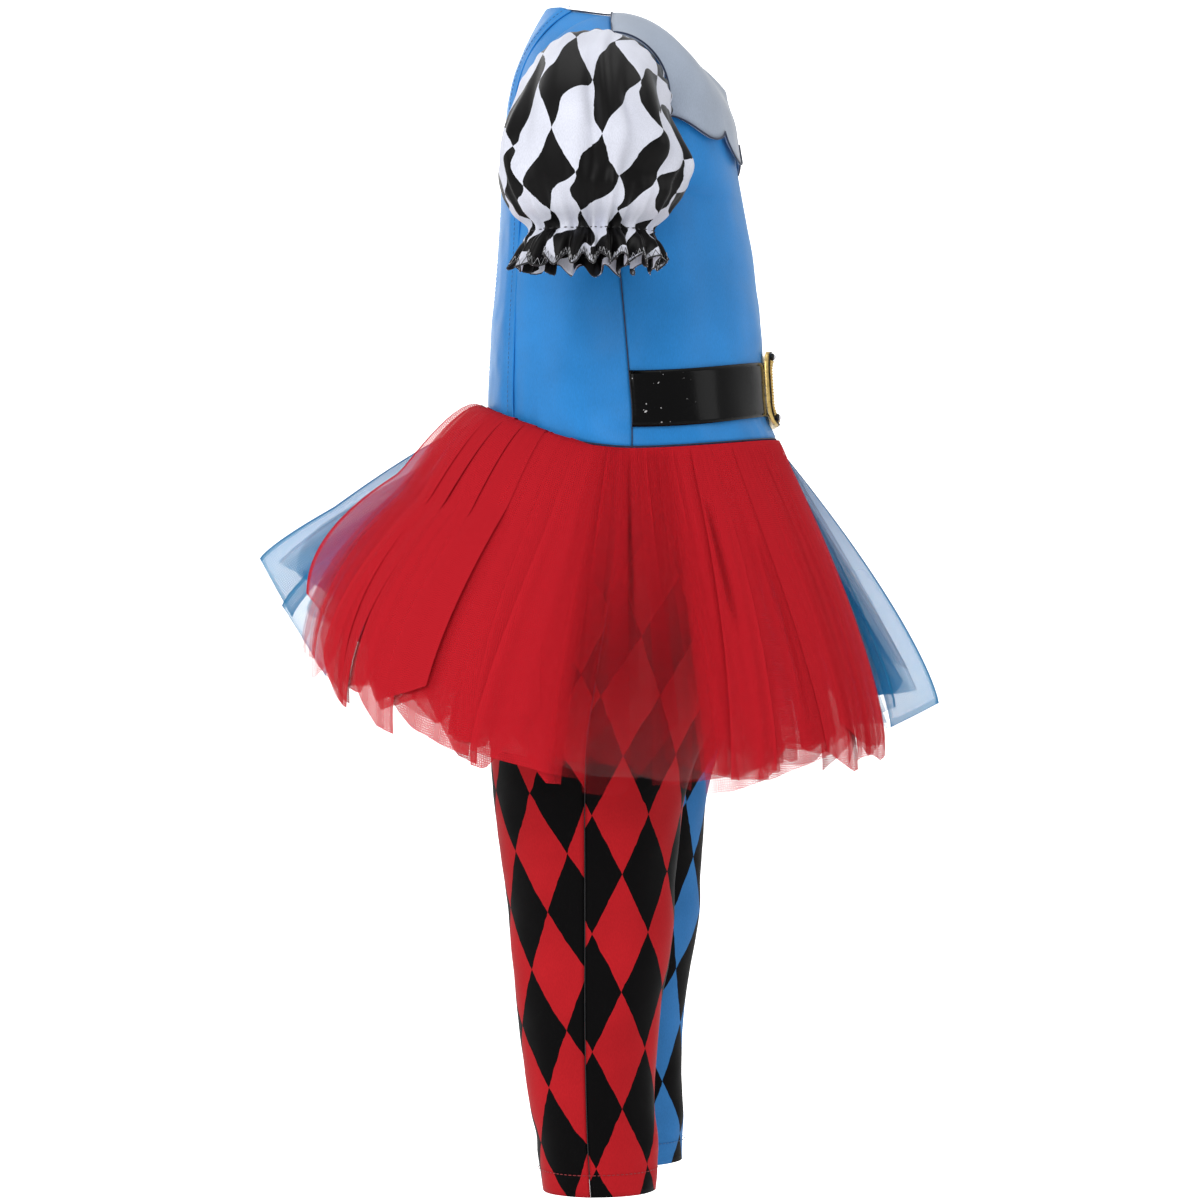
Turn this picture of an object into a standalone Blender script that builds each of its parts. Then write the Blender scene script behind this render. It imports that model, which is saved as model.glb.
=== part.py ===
"""Baby costume: satin bodice with puff sleeves, tulle skirt in two colours and diamond leggings, as worn.

Metres, +Z up. The front faces -Y and the wearer's right is -X. The origin is the centre of the neck opening,
level with the points where the shoulder seams meet the neckline.
"""

import math
from collections import namedtuple

import bmesh
import bpy
from mathutils import Vector

# Cloth and seams
SEAM_GAP = 0.0003
SURFACE_STEP = 0.004
SATIN_WALL = 0.0012
KNIT_WALL = 0.0012
TULLE_WALL = 0.0010
VINYL_WALL = 0.0012

# Bodice. The yoke runs from the yoke line over the chest to the neckline and shoulder seam; near the neck it
# comes in along the neck's own run, and level by the share LEVEL_BY of the way to the armhole
YOKE_HEIGHT = -0.052
YOKE_PULL = 0.38
YOKE_SPREAD = 0.45
YOKE_PROBE = 0.01
LEVEL_BY = 0.6
FRONT_NECK_RUN = Vector((0, -0.1, -1)).normalized()
BACK_NECK_RUN = Vector((0, 0.5, -0.87)).normalized()
NECK_HALF_WIDTH = 0.055
NECK_SHARE = 0.5
NECK_ANGLE = math.radians(58)
SHOULDER_HALF_WIDTH = 0.094
SHOULDER_DROP = 0.017
FRONT_NECK_DEPTH = 0.0585
FRONT_NECK_DROP = 0.0325
FRONT_NECK_CURVE = 1.1
BACK_NECK_DEPTH = 0.0330
BACK_NECK_RISE = 0.0095
BACK_NECK_CURVE = 1.5
WAIST_BACK = -0.2059
WAIST_SIDE = -0.2215
WAIST_FRONT = -0.2137
WAIST_CURVE = 1.7

# height: level; half_width: centre to side; front_y, back_y: centre lines; seam_y: side seam
Level = namedtuple("Level", "height half_width front_y back_y seam_y")
TORSO = (
    Level(-0.232, 0.0980, -0.0900, 0.0585, -0.010),
    Level(-0.214, 0.0975, -0.0866, 0.0605, -0.010),
    Level(-0.203, 0.0972, -0.0818, 0.0622, -0.010),
    Level(-0.190, 0.0970, -0.0800, 0.0622, -0.009),
    Level(-0.155, 0.0968, -0.0785, 0.0603, -0.006),
    Level(-0.124, 0.0963, -0.0752, 0.0577, -0.003),
    Level(-0.100, 0.0952, -0.0708, 0.0560, 0.000),
    Level(-0.086, 0.0935, -0.0680, 0.0553, 0.001),
    Level(-0.070, 0.0890, -0.0652, 0.0545, 0.002),
    Level(YOKE_HEIGHT, 0.0865, -0.0630, 0.0532, 0.002),
)
CHEST = Vector((0, 0, -0.12))
ARMHOLE_FRONT = 0.030
ARMHOLE_BACK = 0.031
ARMPIT_RISE = 0.76
WAIST_STRIP = 0.0016
TRUNK_RISES = (0.0, 0.01, 0.075, 0.19, 0.38, 0.57, ARMPIT_RISE, 0.80, 0.87, 1.0)
YOKE_ROWS = 5
HALF_PANEL_COLUMNS = 10
SEAM_STRIP = 0.02

# Collar: two scallops each side of the centre front
COLLAR_NOTCH_HALF = 0.050
COLLAR_NOTCH_HEIGHT = -0.0590
COLLAR_CENTRE_HEIGHT = -0.0590
COLLAR_SCALLOP_DEPTH = 0.0135
COLLAR_SIDE_HEIGHT = -0.0530
COLLAR_SIDE_HALF = 0.082
COLLAR_SIDE_DEPTH = 0.0085
SCALLOP_CURVE = 0.6
HALVINGS = 30
COLLAR_STEPS = 18
COLLAR_LIFT = 0.0009

# Placket: a strip on the centre back, lapped to the wearer's right
PLACKET_RIGHT_STEPS = 6
PLACKET_LEFT_STEPS = 1

# Belt and buckle
BELT_HEIGHT = 0.0282
BELT_FRONT_CENTRE = -0.1880
BELT_SIDE_CENTRE = -0.1973
BELT_COLUMNS = 28
BELT_LIFT = 0.0007
BUCKLE_WIDTH = 0.052
BUCKLE_HEIGHT = 0.0405
BUCKLE_BAR = 0.0075
BUCKLE_THICKNESS = 0.0022
BUCKLE_CROWN = 0.0006
BUCKLE_POINTS = 32
BUCKLE_CORNER = 0.35

# Sleeve rings from the armhole to the ruffle's edge: where the ring's inner and outer points lie, its reach
# to the front and back, and how deep its gathers are
Ring = namedtuple("Ring", "inner_x inner_z outer_x outer_z front_y back_y gather")
SLEEVE = (
    Ring(0.0985, -0.0925, 0.1060, -0.0165, -0.0310, 0.0415, 0.0010),
    Ring(0.1005, -0.0940, 0.1270, -0.0190, -0.0315, 0.0455, 0.0014),
    Ring(0.1020, -0.0965, 0.1500, -0.0310, -0.0300, 0.0495, 0.0011),
    Ring(0.1030, -0.1000, 0.1700, -0.0510, -0.0340, 0.0530, 0.0008),
    Ring(0.1040, -0.1035, 0.1810, -0.0745, -0.0400, 0.0545, 0.0010),
    Ring(0.1050, -0.1075, 0.1825, -0.0945, -0.0360, 0.0510, 0.0016),
    Ring(0.1080, -0.1120, 0.1770, -0.1075, -0.0295, 0.0450, 0.0018),
    Ring(0.1105, -0.1160, 0.1700, -0.1160, -0.0250, 0.0400, 0.0012),
    Ring(0.1085, -0.1255, 0.1725, -0.1255, -0.0265, 0.0430, 0.0024),
    Ring(0.1055, -0.1380, 0.1770, -0.1380, -0.0290, 0.0475, 0.0036),
)
SLEEVE_GATHERS = 12
SLEEVE_MIDDLE = Vector((0.135, 0.008, -0.085))
STEPS_A_WAVE = 4

# Skirt layers. The hem reaches out from the waist and drops below it, at the back, side and front; bow is how
# strongly the layer arches outward before it falls; hump is how far it stands over the waist seam at the back
Layer = namedtuple(
    "Layer",
    "name sides lift start back_reach back_drop side_reach side_drop front_reach front_drop "
    "back_bow front_bow hump folds fold_depth jag runs colour",
)
RED = (0.52, 0.014, 0.022, 1.0)
BLUE = (0.10, 0.36, 0.66, 1.0)
PALE = (0.62, 0.60, 0.62, 1.0)
BLUE_SATIN = (0.04, 0.24, 0.60, 1.0)
WHITE_SATIN = (0.75, 0.78, 0.85, 1.0)
SLEEVE_SATIN = (0.75, 0.75, 0.80, 1.0)
BLACK_VINYL = (0.006, 0.006, 0.007, 1.0)
GOLD = (0.60, 0.42, 0.10, 1.0)
OUTER_RUNS = (0.0, 0.05, 0.12, 0.28, 0.5, 0.75, 1.0)
UNDER_RUNS = (0.0, 0.12, 0.35, 0.65, 1.0)
PETTICOAT_RUNS = (0.0, 0.13, 0.5, 1.0)
SKIRT = (
    Layer("skirt_right_outer", (-1,), 0.0017, 0.0003, 0.098, 0.120, 0.071, 0.161, 0.057, 0.156,
          2.8, 1.5, 0.0165, 12, 0.0042, 0.007, OUTER_RUNS, RED),
    Layer("skirt_right_under", (-1,), 0.0018, 0.0034, 0.080, 0.124, 0.052, 0.160, 0.042, 0.155,
          2.6, 1.4, 0.0085, 9, 0.0030, 0.006, UNDER_RUNS, RED),
    Layer("skirt_left_outer", (1,), 0.0017, 0.0003, 0.125, 0.072, 0.101, 0.140, 0.088, 0.138,
          1.5, 1.15, 0.0130, 12, 0.0045, 0.007, OUTER_RUNS, BLUE),
    Layer("skirt_left_under", (1,), 0.0018, 0.0034, 0.108, 0.097, 0.080, 0.152, 0.065, 0.151,
          1.7, 1.2, 0.0065, 9, 0.0032, 0.006, UNDER_RUNS, BLUE),
    Layer("skirt_petticoat", (-1, 1), 0.0020, 0.0077, 0.058, 0.129, 0.032, 0.157, 0.027, 0.153,
          2.2, 1.3, 0.0, 8, 0.0022, 0.004, PETTICOAT_RUNS, PALE),
)
SKIRT_HALF_GAP = 0.0008
FOLD_GROWTH = 0.8
HUMP_END = 0.28
HUMP_FADE = 1.2

# Leggings, for the wearer's left leg, mirrored for the right: outer and inner points, then the outseam and
# the front and back lines
Leg = namedtuple("Leg", "height outer_x inner_x seam_y front_y back_y")
LEG = (
    Leg(-0.232, 0.0966, -0.0966, -0.0100, -0.0882, 0.0590),
    Leg(-0.255, 0.0978, -0.0840, -0.0060, -0.0832, 0.0618),
    Leg(-0.290, 0.1000, -0.0600, 0.0000, -0.0757, 0.0670),
    Leg(-0.325, 0.1000, -0.0280, 0.0060, -0.0660, 0.0670),
    Leg(-0.350, 0.0985, -0.0080, 0.0100, -0.0560, 0.0650),
    Leg(-0.368, 0.0970, 0.0012, 0.0125, -0.0480, 0.0625),
    Leg(-0.394, 0.0945, 0.0045, 0.0135, -0.0380, 0.0597),
    Leg(-0.434, 0.0905, 0.0085, 0.0135, -0.0330, 0.0555),
    Leg(-0.470, 0.0870, 0.0125, 0.0135, -0.0310, 0.0512),
    Leg(-0.509, 0.0825, 0.0155, 0.0135, -0.0245, 0.0477),
    Leg(-0.545, 0.0790, 0.0175, 0.0130, -0.0220, 0.0434),
    Leg(-0.574, 0.0765, 0.0185, 0.0120, -0.0235, 0.0380),
    Leg(-0.598, 0.0750, 0.0195, 0.0105, -0.0223, 0.0355),
)
LEG_COLUMNS = 9
LEFT_LEG_FORWARD = 0.016
STRIDE_START = -0.255
STRIDE_END = -0.394


def clear_scene():
    for obj in list(bpy.data.objects):
        bpy.data.objects.remove(obj, do_unlink=True)


def costume_collection():
    found = bpy.data.collections.new("baby_costume")
    bpy.context.scene.collection.children.link(found)
    return found


def finish(name, colour, roughness, metallic=0.0):
    material = bpy.data.materials.new(name)
    material.use_nodes = True
    shader = material.node_tree.nodes["Principled BSDF"]
    shader.inputs["Base Color"].default_value = colour
    shader.inputs["Roughness"].default_value = roughness
    shader.inputs["Metallic"].default_value = metallic
    return material


def mix(first, second, share):
    return first + (second - first) * share


def ease(share):
    share = min(max(share, 0.0), 1.0)
    return share * share * (3 - 2 * share)


def read(table, height):
    """The table's row at a height, smoothly between its own rows."""
    rows = sorted(table, key=lambda row: row.height)
    height = min(max(height, rows[0].height), rows[-1].height)
    index = max(i for i in range(len(rows) - 1) if rows[i].height <= height)
    before, low, high, after = (
        rows[max(index - 1, 0)],
        rows[index],
        rows[index + 1],
        rows[min(index + 2, len(rows) - 1)],
    )
    span = high.height - low.height
    share = (height - low.height) / span
    values = []
    for column in range(len(low)):
        start = (high[column] - before[column]) / (high.height - before.height) * span
        end = (after[column] - low[column]) / (after.height - low.height) * span
        values.append(
            low[column] * (1 + 2 * share) * (1 - share) ** 2
            + start * share * (1 - share) ** 2
            + high[column] * share**2 * (3 - 2 * share)
            - end * share**2 * (1 - share)
        )
    return type(low)(*values)


def around(turn, back, side, front):
    """A value round the waist: turn is 0 at the centre back, a right angle at the side, two at the front."""
    end = back if turn < math.pi / 2 else front
    return side + (end - side) * abs(math.cos(turn)) ** WAIST_CURVE


def waist_height(turn):
    return around(turn, WAIST_BACK, WAIST_SIDE, WAIST_FRONT)


def panel_angle(across):
    """Angle from the centre line, for a place across a panel from 0 at its centre to 1 at its side edge."""
    if across <= NECK_SHARE:
        return NECK_ANGLE * across / NECK_SHARE
    return mix(NECK_ANGLE, math.pi / 2, (across - NECK_SHARE) / (1 - NECK_SHARE))


def armhole_share(height):
    """How far the armhole's edge has left the side seam: 0 up to the armpit, 1 at the yoke line."""
    armpit = mix(WAIST_SIDE, YOKE_HEIGHT, ARMPIT_RISE)
    share = min(max((height - armpit) / (YOKE_HEIGHT - armpit), 0.0), 1.0)
    return math.sqrt(1 - (1 - share) ** 2)


def trunk_point(angle, height, front):
    level = read(TORSO, height)
    spread = -ARMHOLE_FRONT if front else ARMHOLE_BACK
    edge = level.seam_y + spread * armhole_share(height)
    centre = level.front_y if front else level.back_y
    return Vector((level.half_width * math.sin(angle), mix(edge, centre, math.cos(angle)), height))


def top_edge(across, front):
    """The neckline, then the shoulder seam."""
    if across <= NECK_SHARE:
        turn = across / NECK_SHARE * math.pi / 2
        out = NECK_HALF_WIDTH * math.sin(turn)
        fall = max(math.cos(turn), 0.0)
        if front:
            return Vector((out, -FRONT_NECK_DEPTH * fall, -FRONT_NECK_DROP * fall**FRONT_NECK_CURVE))
        return Vector((out, BACK_NECK_DEPTH * fall, BACK_NECK_RISE * fall**BACK_NECK_CURVE))
    share = (across - NECK_SHARE) / (1 - NECK_SHARE)
    return Vector((mix(NECK_HALF_WIDTH, SHOULDER_HALF_WIDTH, share), 0.0, -SHOULDER_DROP * share))


def yoke_point(across, rise, front):
    """From the yoke line at rise 0 over the chest or shoulder blade to the top edge at rise 1."""
    angle = panel_angle(across)
    start = trunk_point(angle, YOKE_HEIGHT, front)
    below = trunk_point(angle, YOKE_HEIGHT - YOKE_PROBE, front)
    end = top_edge(across, front)
    level = Vector((0, -1 if front else 1, 0))
    arrive = (FRONT_NECK_RUN if front else BACK_NECK_RUN).lerp(level, ease(across / LEVEL_BY))
    arrive.x += YOKE_SPREAD * math.sin(math.pi * across) ** 2
    arrive.normalize()
    pull = (end - start).length * YOKE_PULL
    first = start + (start - below).normalized() * pull
    second = end + arrive * pull
    left = 1 - rise
    return start * left**3 + first * 3 * left**2 * rise + second * 3 * left * rise**2 + end * rise**3


def bodice_point(across, rise, front):
    """A point on the bodice's left half: rise is 0 at the waist, 1 at the yoke line and 2 at the top."""
    if rise > 1:
        point = yoke_point(across, rise - 1, front)
    else:
        angle = panel_angle(across)
        waist = waist_height(math.pi - angle if front else angle)
        height = mix(waist, YOKE_HEIGHT, rise)
        point = trunk_point(angle, max(height, waist + WAIST_STRIP), front)
        point.z = height
    point.y += (-SEAM_GAP if front else SEAM_GAP) * 0.5
    return point


def mirrored_bodice(across, rise, front):
    point = bodice_point(abs(across), rise, front)
    point.x = math.copysign(point.x, across) if across else 0.0
    return point


def lifted(surface, first, second, lift):
    """A surface's point moved straight out of it, away from the garment's middle."""
    point = surface(first, second)
    along = surface(first + SURFACE_STEP, second) - surface(first - SURFACE_STEP, second)
    up = surface(first, second + SURFACE_STEP) - surface(first, second - SURFACE_STEP)
    normal = along.cross(up).normalized()
    if normal.dot(point - CHEST) < 0:
        normal.negate()
    return point + normal * lift


def steps(start, end, count):
    return [mix(start, end, index / count) for index in range(count + 1)]


def shell(name, grid, wall, core, material, ring=False):
    """A wall of cloth from a grid of points on its outer side; core is a point that the cloth goes round."""
    mesh = bpy.data.meshes.new(name)
    work = bmesh.new()
    rows = [[work.verts.new(point) for point in row] for row in grid]
    count = len(rows[0])
    for lower, upper in zip(rows, rows[1:]):
        for index in range(count if ring else count - 1):
            after = (index + 1) % count
            work.faces.new((lower[index], lower[after], upper[after], upper[index]))
    work.normal_update()
    facing = sum(face.normal.dot(face.calc_center_median() - core) * face.calc_area() for face in work.faces)
    if facing < 0:
        bmesh.ops.reverse_faces(work, faces=work.faces)
    work.to_mesh(mesh)
    work.free()
    mesh.materials.append(material)
    mesh.shade_smooth()
    obj = bpy.data.objects.new(name, mesh)
    costume.objects.link(obj)
    wall_modifier = obj.modifiers.new("wall", "SOLIDIFY")
    wall_modifier.thickness = wall
    wall_modifier.offset = -1
    return obj


def bodice_rises():
    return list(TRUNK_RISES) + steps(1, 2, YOKE_ROWS)[1:-1] + [2 - SEAM_STRIP, 2.0]


def make_bodice(satin):
    half = steps(0, 1, HALF_PANEL_COLUMNS)[1:-1] + [1 - SEAM_STRIP, 1.0]
    whole = [-across for across in reversed(half)] + [0.0] + half
    front = [[mirrored_bodice(across, rise, True) for across in whole] for rise in bodice_rises()]
    shell("bodice_front", front, SATIN_WALL, CHEST, satin)
    for name, side in (("bodice_back_right", -1), ("bodice_back_left", 1)):
        grid = []
        for rise in bodice_rises():
            row = [mirrored_bodice(across * side, rise, False) for across in [0.0] + half]
            row[0].x = side * SEAM_GAP / 2
            grid.append(row)
        shell(name, grid, SATIN_WALL, CHEST, satin)


def collar_edge(out):
    """Height of the collar's scalloped edge at a distance from the centre front."""
    if out <= COLLAR_NOTCH_HALF:
        share = out / COLLAR_NOTCH_HALF
        base = mix(COLLAR_CENTRE_HEIGHT, COLLAR_NOTCH_HEIGHT, share)
        return base - COLLAR_SCALLOP_DEPTH * math.sin(math.pi * share) ** SCALLOP_CURVE
    share = min((out - COLLAR_NOTCH_HALF) / (COLLAR_SIDE_HALF - COLLAR_NOTCH_HALF), 1.0)
    base = mix(COLLAR_NOTCH_HEIGHT, COLLAR_SIDE_HEIGHT, share)
    return base - COLLAR_SIDE_DEPTH * math.sin(math.pi * share) ** SCALLOP_CURVE


def rise_at_height(across, height):
    """The bodice front's rise where it reaches a height, found by halving."""
    low, high = 0.0, 2.0
    for _ in range(HALVINGS):
        middle = (low + high) / 2
        if bodice_point(across, middle, True).z < height:
            low = middle
        else:
            high = middle
    return low


def front_surface(across, rise):
    return mirrored_bodice(across, min(rise, 2.0), True)


def back_surface(across, rise):
    return mirrored_bodice(across, min(rise, 2.0), False)


def make_collar(white):
    lift = COLLAR_LIFT + SATIN_WALL
    upper = [rise for rise in bodice_rises() if rise >= 1]
    upper[-1] -= SURFACE_STEP
    columns = [index / (2 * HALF_PANEL_COLUMNS) for index in range(-COLLAR_STEPS, COLLAR_STEPS + 1)]
    lows = [
        rise_at_height(abs(across), collar_edge(bodice_point(abs(across), 1.0, True).x)) for across in columns
    ]
    grid = [[lifted(front_surface, across, low, lift) for across, low in zip(columns, lows)]]
    for rise in upper:
        row = [lifted(front_surface, across, rise, lift) for across in columns]
        # Between the bodice's own columns the collar is flat, as the bodice is
        for index in range(1, len(row) - 1, 2):
            row[index] = (row[index - 1] + row[index + 1]) / 2
        grid.append(row)
    shell("collar", grid, SATIN_WALL, CHEST, white)


def make_placket(satin):
    lift = COLLAR_LIFT + SATIN_WALL
    rises = bodice_rises()[1:]
    rises[-1] -= SURFACE_STEP
    column = 1 / (2 * HALF_PANEL_COLUMNS)
    columns = [index * column for index in range(-PLACKET_RIGHT_STEPS, PLACKET_LEFT_STEPS + 1)]
    grid = [[lifted(back_surface, across, rise, lift) for across in columns] for rise in rises]
    shell("back_placket", grid, SATIN_WALL, CHEST, satin)


def waist_front(angle, height):
    return trunk_point(angle, height, True) - Vector((0, SEAM_GAP / 2, 0))


def belt_centre(angle):
    return mix(BELT_SIDE_CENTRE, BELT_FRONT_CENTRE, math.cos(angle) ** 2)


def make_belt(vinyl):
    lift = BELT_LIFT + VINYL_WALL
    angles = steps(-math.pi / 2, math.pi / 2, BELT_COLUMNS)
    grid = [
        [lifted(waist_front, angle, belt_centre(angle) + rise, lift) for angle in angles]
        for rise in (-BELT_HEIGHT / 2, 0.0, BELT_HEIGHT / 2)
    ]
    shell("belt", grid, VINYL_WALL, CHEST, vinyl)


def buckle_outline(inset):
    """Points round the buckle's rectangle, corners rounded, as distances from its centre."""
    points = []
    half_width = BUCKLE_WIDTH / 2 - inset
    half_height = BUCKLE_HEIGHT / 2 - inset
    for index in range(BUCKLE_POINTS):
        turn = math.tau * (index + 0.5) / BUCKLE_POINTS
        across, up = math.cos(turn), math.sin(turn)
        points.append(
            (
                half_width * math.copysign(abs(across) ** BUCKLE_CORNER, across),
                half_height * math.copysign(abs(up) ** BUCKLE_CORNER, up),
            )
        )
    return points


def make_buckle(gold):
    base = BELT_LIFT + 2 * SEAM_GAP + VINYL_WALL + BUCKLE_THICKNESS
    grid = []
    for inset, crown in ((0, 0), (BUCKLE_BAR / 2, BUCKLE_CROWN), (BUCKLE_BAR, 0)):
        row = []
        for out, up in buckle_outline(inset):
            height = BELT_FRONT_CENTRE + up
            angle = math.asin(out / read(TORSO, height).half_width)
            row.append(lifted(waist_front, angle, height, base + crown))
        grid.append(row)
    shell("buckle", grid, BUCKLE_THICKNESS, CHEST, gold, ring=True)


def armhole_line(front):
    """Points from the shoulder seam down the panel's side edge to the armpit."""
    return [bodice_point(1.0, rise, front) for rise in reversed(bodice_rises()) if rise >= ARMPIT_RISE]


def armhole_ring(count):
    """Evenly spaced points round the armhole, from the shoulder seam down the back and up the front."""
    line = armhole_line(False) + armhole_line(True)[::-1]
    lengths = [0.0]
    for first, second in zip(line, line[1:]):
        lengths.append(lengths[-1] + (second - first).length)
    ring = []
    for index in range(count):
        wanted = lengths[-1] * index / count
        place = max(i for i in range(len(line) - 1) if lengths[i] <= wanted)
        share = (wanted - lengths[place]) / max(lengths[place + 1] - lengths[place], 1e-9)
        ring.append(line[place].lerp(line[place + 1], share))
    return ring


def sleeve_ring(row, count):
    inner = Vector((row.inner_x, 0, row.inner_z))
    outer = Vector((row.outer_x, 0, row.outer_z))
    centre = (inner + outer) / 2 + Vector((0, (row.front_y + row.back_y) / 2, 0))
    across = (outer - inner) / 2
    deep = Vector((0, (row.back_y - row.front_y) / 2, 0))
    ring = []
    for index in range(count):
        turn = math.tau * index / count
        out = across * math.cos(turn) + deep * math.sin(turn)
        wave = row.gather * math.cos(math.tau * index / STEPS_A_WAVE)
        ring.append(centre + out + out.normalized() * wave)
    return ring


def make_sleeves(satin):
    count = SLEEVE_GATHERS * STEPS_A_WAVE
    start = [point + Vector((2 * SEAM_GAP, 0, 0)) for point in armhole_ring(count)]
    rings = [start] + [sleeve_ring(row, count) for row in SLEEVE]
    for name, side in (("sleeve_right", -1), ("sleeve_left", 1)):
        grid = [[Vector((side * p.x, p.y, p.z)) for p in ring] for ring in rings]
        middle = Vector((side * SLEEVE_MIDDLE.x, SLEEVE_MIDDLE.y, SLEEVE_MIDDLE.z))
        shell(name, grid, SATIN_WALL, middle, satin, ring=True)


def skirt_point(layer, side, share, run):
    """Run is 0 at the waist seam and 1 at the hem; share is 0 at the centre back and 1 at the front."""
    turn = math.pi * share
    waist = waist_height(turn)
    level = read(TORSO, waist)
    depth_end = level.back_y + layer.lift if turn < math.pi / 2 else level.front_y - layer.lift
    out_x = (level.half_width + layer.lift) * math.sin(turn)
    out_y = mix(level.seam_y, depth_end, abs(math.cos(turn)))
    away = Vector((math.sin(turn) / level.half_width, math.cos(turn) / abs(depth_end), 0)).normalized()
    reach = around(turn, layer.back_reach, layer.side_reach, layer.front_reach)
    drop = around(turn, layer.back_drop, layer.side_drop, layer.front_drop)
    bow = around(turn, layer.back_bow, layer.front_bow, layer.front_bow)
    between_points = abs(share * layer.folds * 0.5 % 1 * 2 - 1)
    hem = 1 - layer.jag / drop * between_points * 2
    fall = run * hem
    out = reach * (1 - (1 - fall) ** bow)
    wave = layer.fold_depth * fall**FOLD_GROWTH * math.cos(math.tau * share * layer.folds)
    swell = math.sin(math.pi * math.sqrt(min(run / HUMP_END, 1)))
    hump = layer.hump * max(math.cos(turn), 0) ** HUMP_FADE * swell
    place = Vector((out_x, out_y, waist - layer.start - drop * fall + hump))
    place += away * (out + wave)
    gap = SKIRT_HALF_GAP if len(layer.sides) == 1 else 0.0
    return Vector((side * (place.x + gap), place.y, place.z))


def make_skirt(tulles):
    for layer in SKIRT:
        shares = steps(0, 1, layer.folds * STEPS_A_WAVE)
        ring = len(layer.sides) == 2
        grid = []
        for run in layer.runs:
            row = [skirt_point(layer, layer.sides[0], share, run) for share in shares]
            if ring:
                row += [skirt_point(layer, layer.sides[1], share, run) for share in shares[-2:0:-1]]
            grid.append(row)
        shell(layer.name, grid, TULLE_WALL, Vector((0, 0, WAIST_SIDE)), tulles[layer.colour], ring=ring)


def leg_point(row, share, front, height, forward):
    """share is 0 at the outseam and 1 at the inseam, or at the centre seam above the crotch."""
    centre = (row.outer_x + row.inner_x) / 2
    half = (row.outer_x - row.inner_x) / 2
    end = math.acos(max((SEAM_GAP / 2 - centre) / half, -1.0))
    angle = end * share
    depth = row.front_y - row.seam_y if front else row.back_y - row.seam_y
    gap = -SEAM_GAP / 2 if front else SEAM_GAP / 2
    return Vector(
        (centre + half * math.cos(angle), row.seam_y + depth * math.sin(angle) + gap - forward, height)
    )


def make_leggings(knits):
    for side_name, side in (("right", -1), ("left", 1)):
        knit = knits[side]
        for face_name, front in (("front", True), ("back", False)):
            grid = []
            for index, row in enumerate(LEG):
                stride = ease((row.height - STRIDE_START) / (STRIDE_END - STRIDE_START))
                forward = LEFT_LEG_FORWARD * stride if side > 0 else 0.0
                line = []
                for share in [0.0, SEAM_STRIP] + steps(0, 1, LEG_COLUMNS)[1:-1] + [1 - SEAM_STRIP, 1.0]:
                    if index:
                        point = leg_point(row, share, front, row.height, forward)
                    else:
                        point = leggings_waist(share, front)
                    point.x *= side
                    line.append(point)
                grid.append(line)
            middle = LEG[len(LEG) // 2]
            core = Vector((side * (middle.outer_x + middle.inner_x) / 2, middle.seam_y, middle.height))
            shell("leg_" + side_name + "_" + face_name, grid, KNIT_WALL, core, knit)


def leggings_waist(share, front):
    """The top edge, just under the bodice's lower edge."""
    angle = math.pi / 2 * (1 - share)
    waist = waist_height(math.pi - angle if front else angle)
    point = trunk_point(angle, waist + WAIST_STRIP, front)
    point.x = max(point.x, SEAM_GAP / 2)
    point.y += (-SEAM_GAP if front else SEAM_GAP) / 2
    point.z = waist - SEAM_GAP
    return point


clear_scene()
costume = costume_collection()
blue_satin = finish("blue_satin", BLUE_SATIN, 0.4)
make_bodice(blue_satin)
make_placket(blue_satin)
make_collar(finish("white_satin", WHITE_SATIN, 0.5))
make_belt(finish("black_vinyl", BLACK_VINYL, 0.15))
make_buckle(finish("gold_beads", GOLD, 0.35, 1.0))
make_sleeves(finish("sleeve_satin", SLEEVE_SATIN, 0.45))
make_skirt(
    {
        RED: finish("red_tulle", RED, 0.8),
        BLUE: finish("blue_tulle", BLUE, 0.8),
        PALE: finish("pale_tulle", PALE, 0.8),
    }
)
make_leggings({-1: finish("red_knit", RED, 0.6), 1: finish("blue_knit", BLUE, 0.6)})
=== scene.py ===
"""Looks of the baby costume: fine cloth shells, sheer skirt, stitching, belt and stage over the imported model.

Metres, +Z up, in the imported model's own frame. The front faces -Y and the wearer's right is -X.
"""

import math
import random
from collections import namedtuple

import bpy
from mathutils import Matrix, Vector, noise


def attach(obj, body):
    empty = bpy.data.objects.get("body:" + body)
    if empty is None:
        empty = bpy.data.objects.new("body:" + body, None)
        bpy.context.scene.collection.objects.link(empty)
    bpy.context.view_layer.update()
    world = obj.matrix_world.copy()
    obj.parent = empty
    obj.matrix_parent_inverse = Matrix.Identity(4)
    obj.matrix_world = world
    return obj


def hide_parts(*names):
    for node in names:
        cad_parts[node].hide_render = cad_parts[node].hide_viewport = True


bl_info = {
    "name": "Baby costume looks",
    "version": (1, 0, 0),
    "blender": (4, 5, 0),
    "location": "View3D > Sidebar > Costume",
    "description": "Dresses the packed baby costume with cloth, sheer skirt, stitching, belt and a stage",
    "category": "Object",
}

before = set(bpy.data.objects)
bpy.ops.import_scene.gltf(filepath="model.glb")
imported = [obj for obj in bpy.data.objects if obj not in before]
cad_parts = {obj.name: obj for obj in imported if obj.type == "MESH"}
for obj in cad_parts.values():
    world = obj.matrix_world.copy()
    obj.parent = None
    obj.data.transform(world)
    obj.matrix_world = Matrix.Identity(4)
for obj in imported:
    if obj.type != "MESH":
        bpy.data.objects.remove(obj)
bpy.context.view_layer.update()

# Cloth and seams
SEAM_GAP = 0.0003
SURFACE_STEP = 0.004
SATIN_WALL = 0.0012
VINYL_WALL = 0.0012

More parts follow.
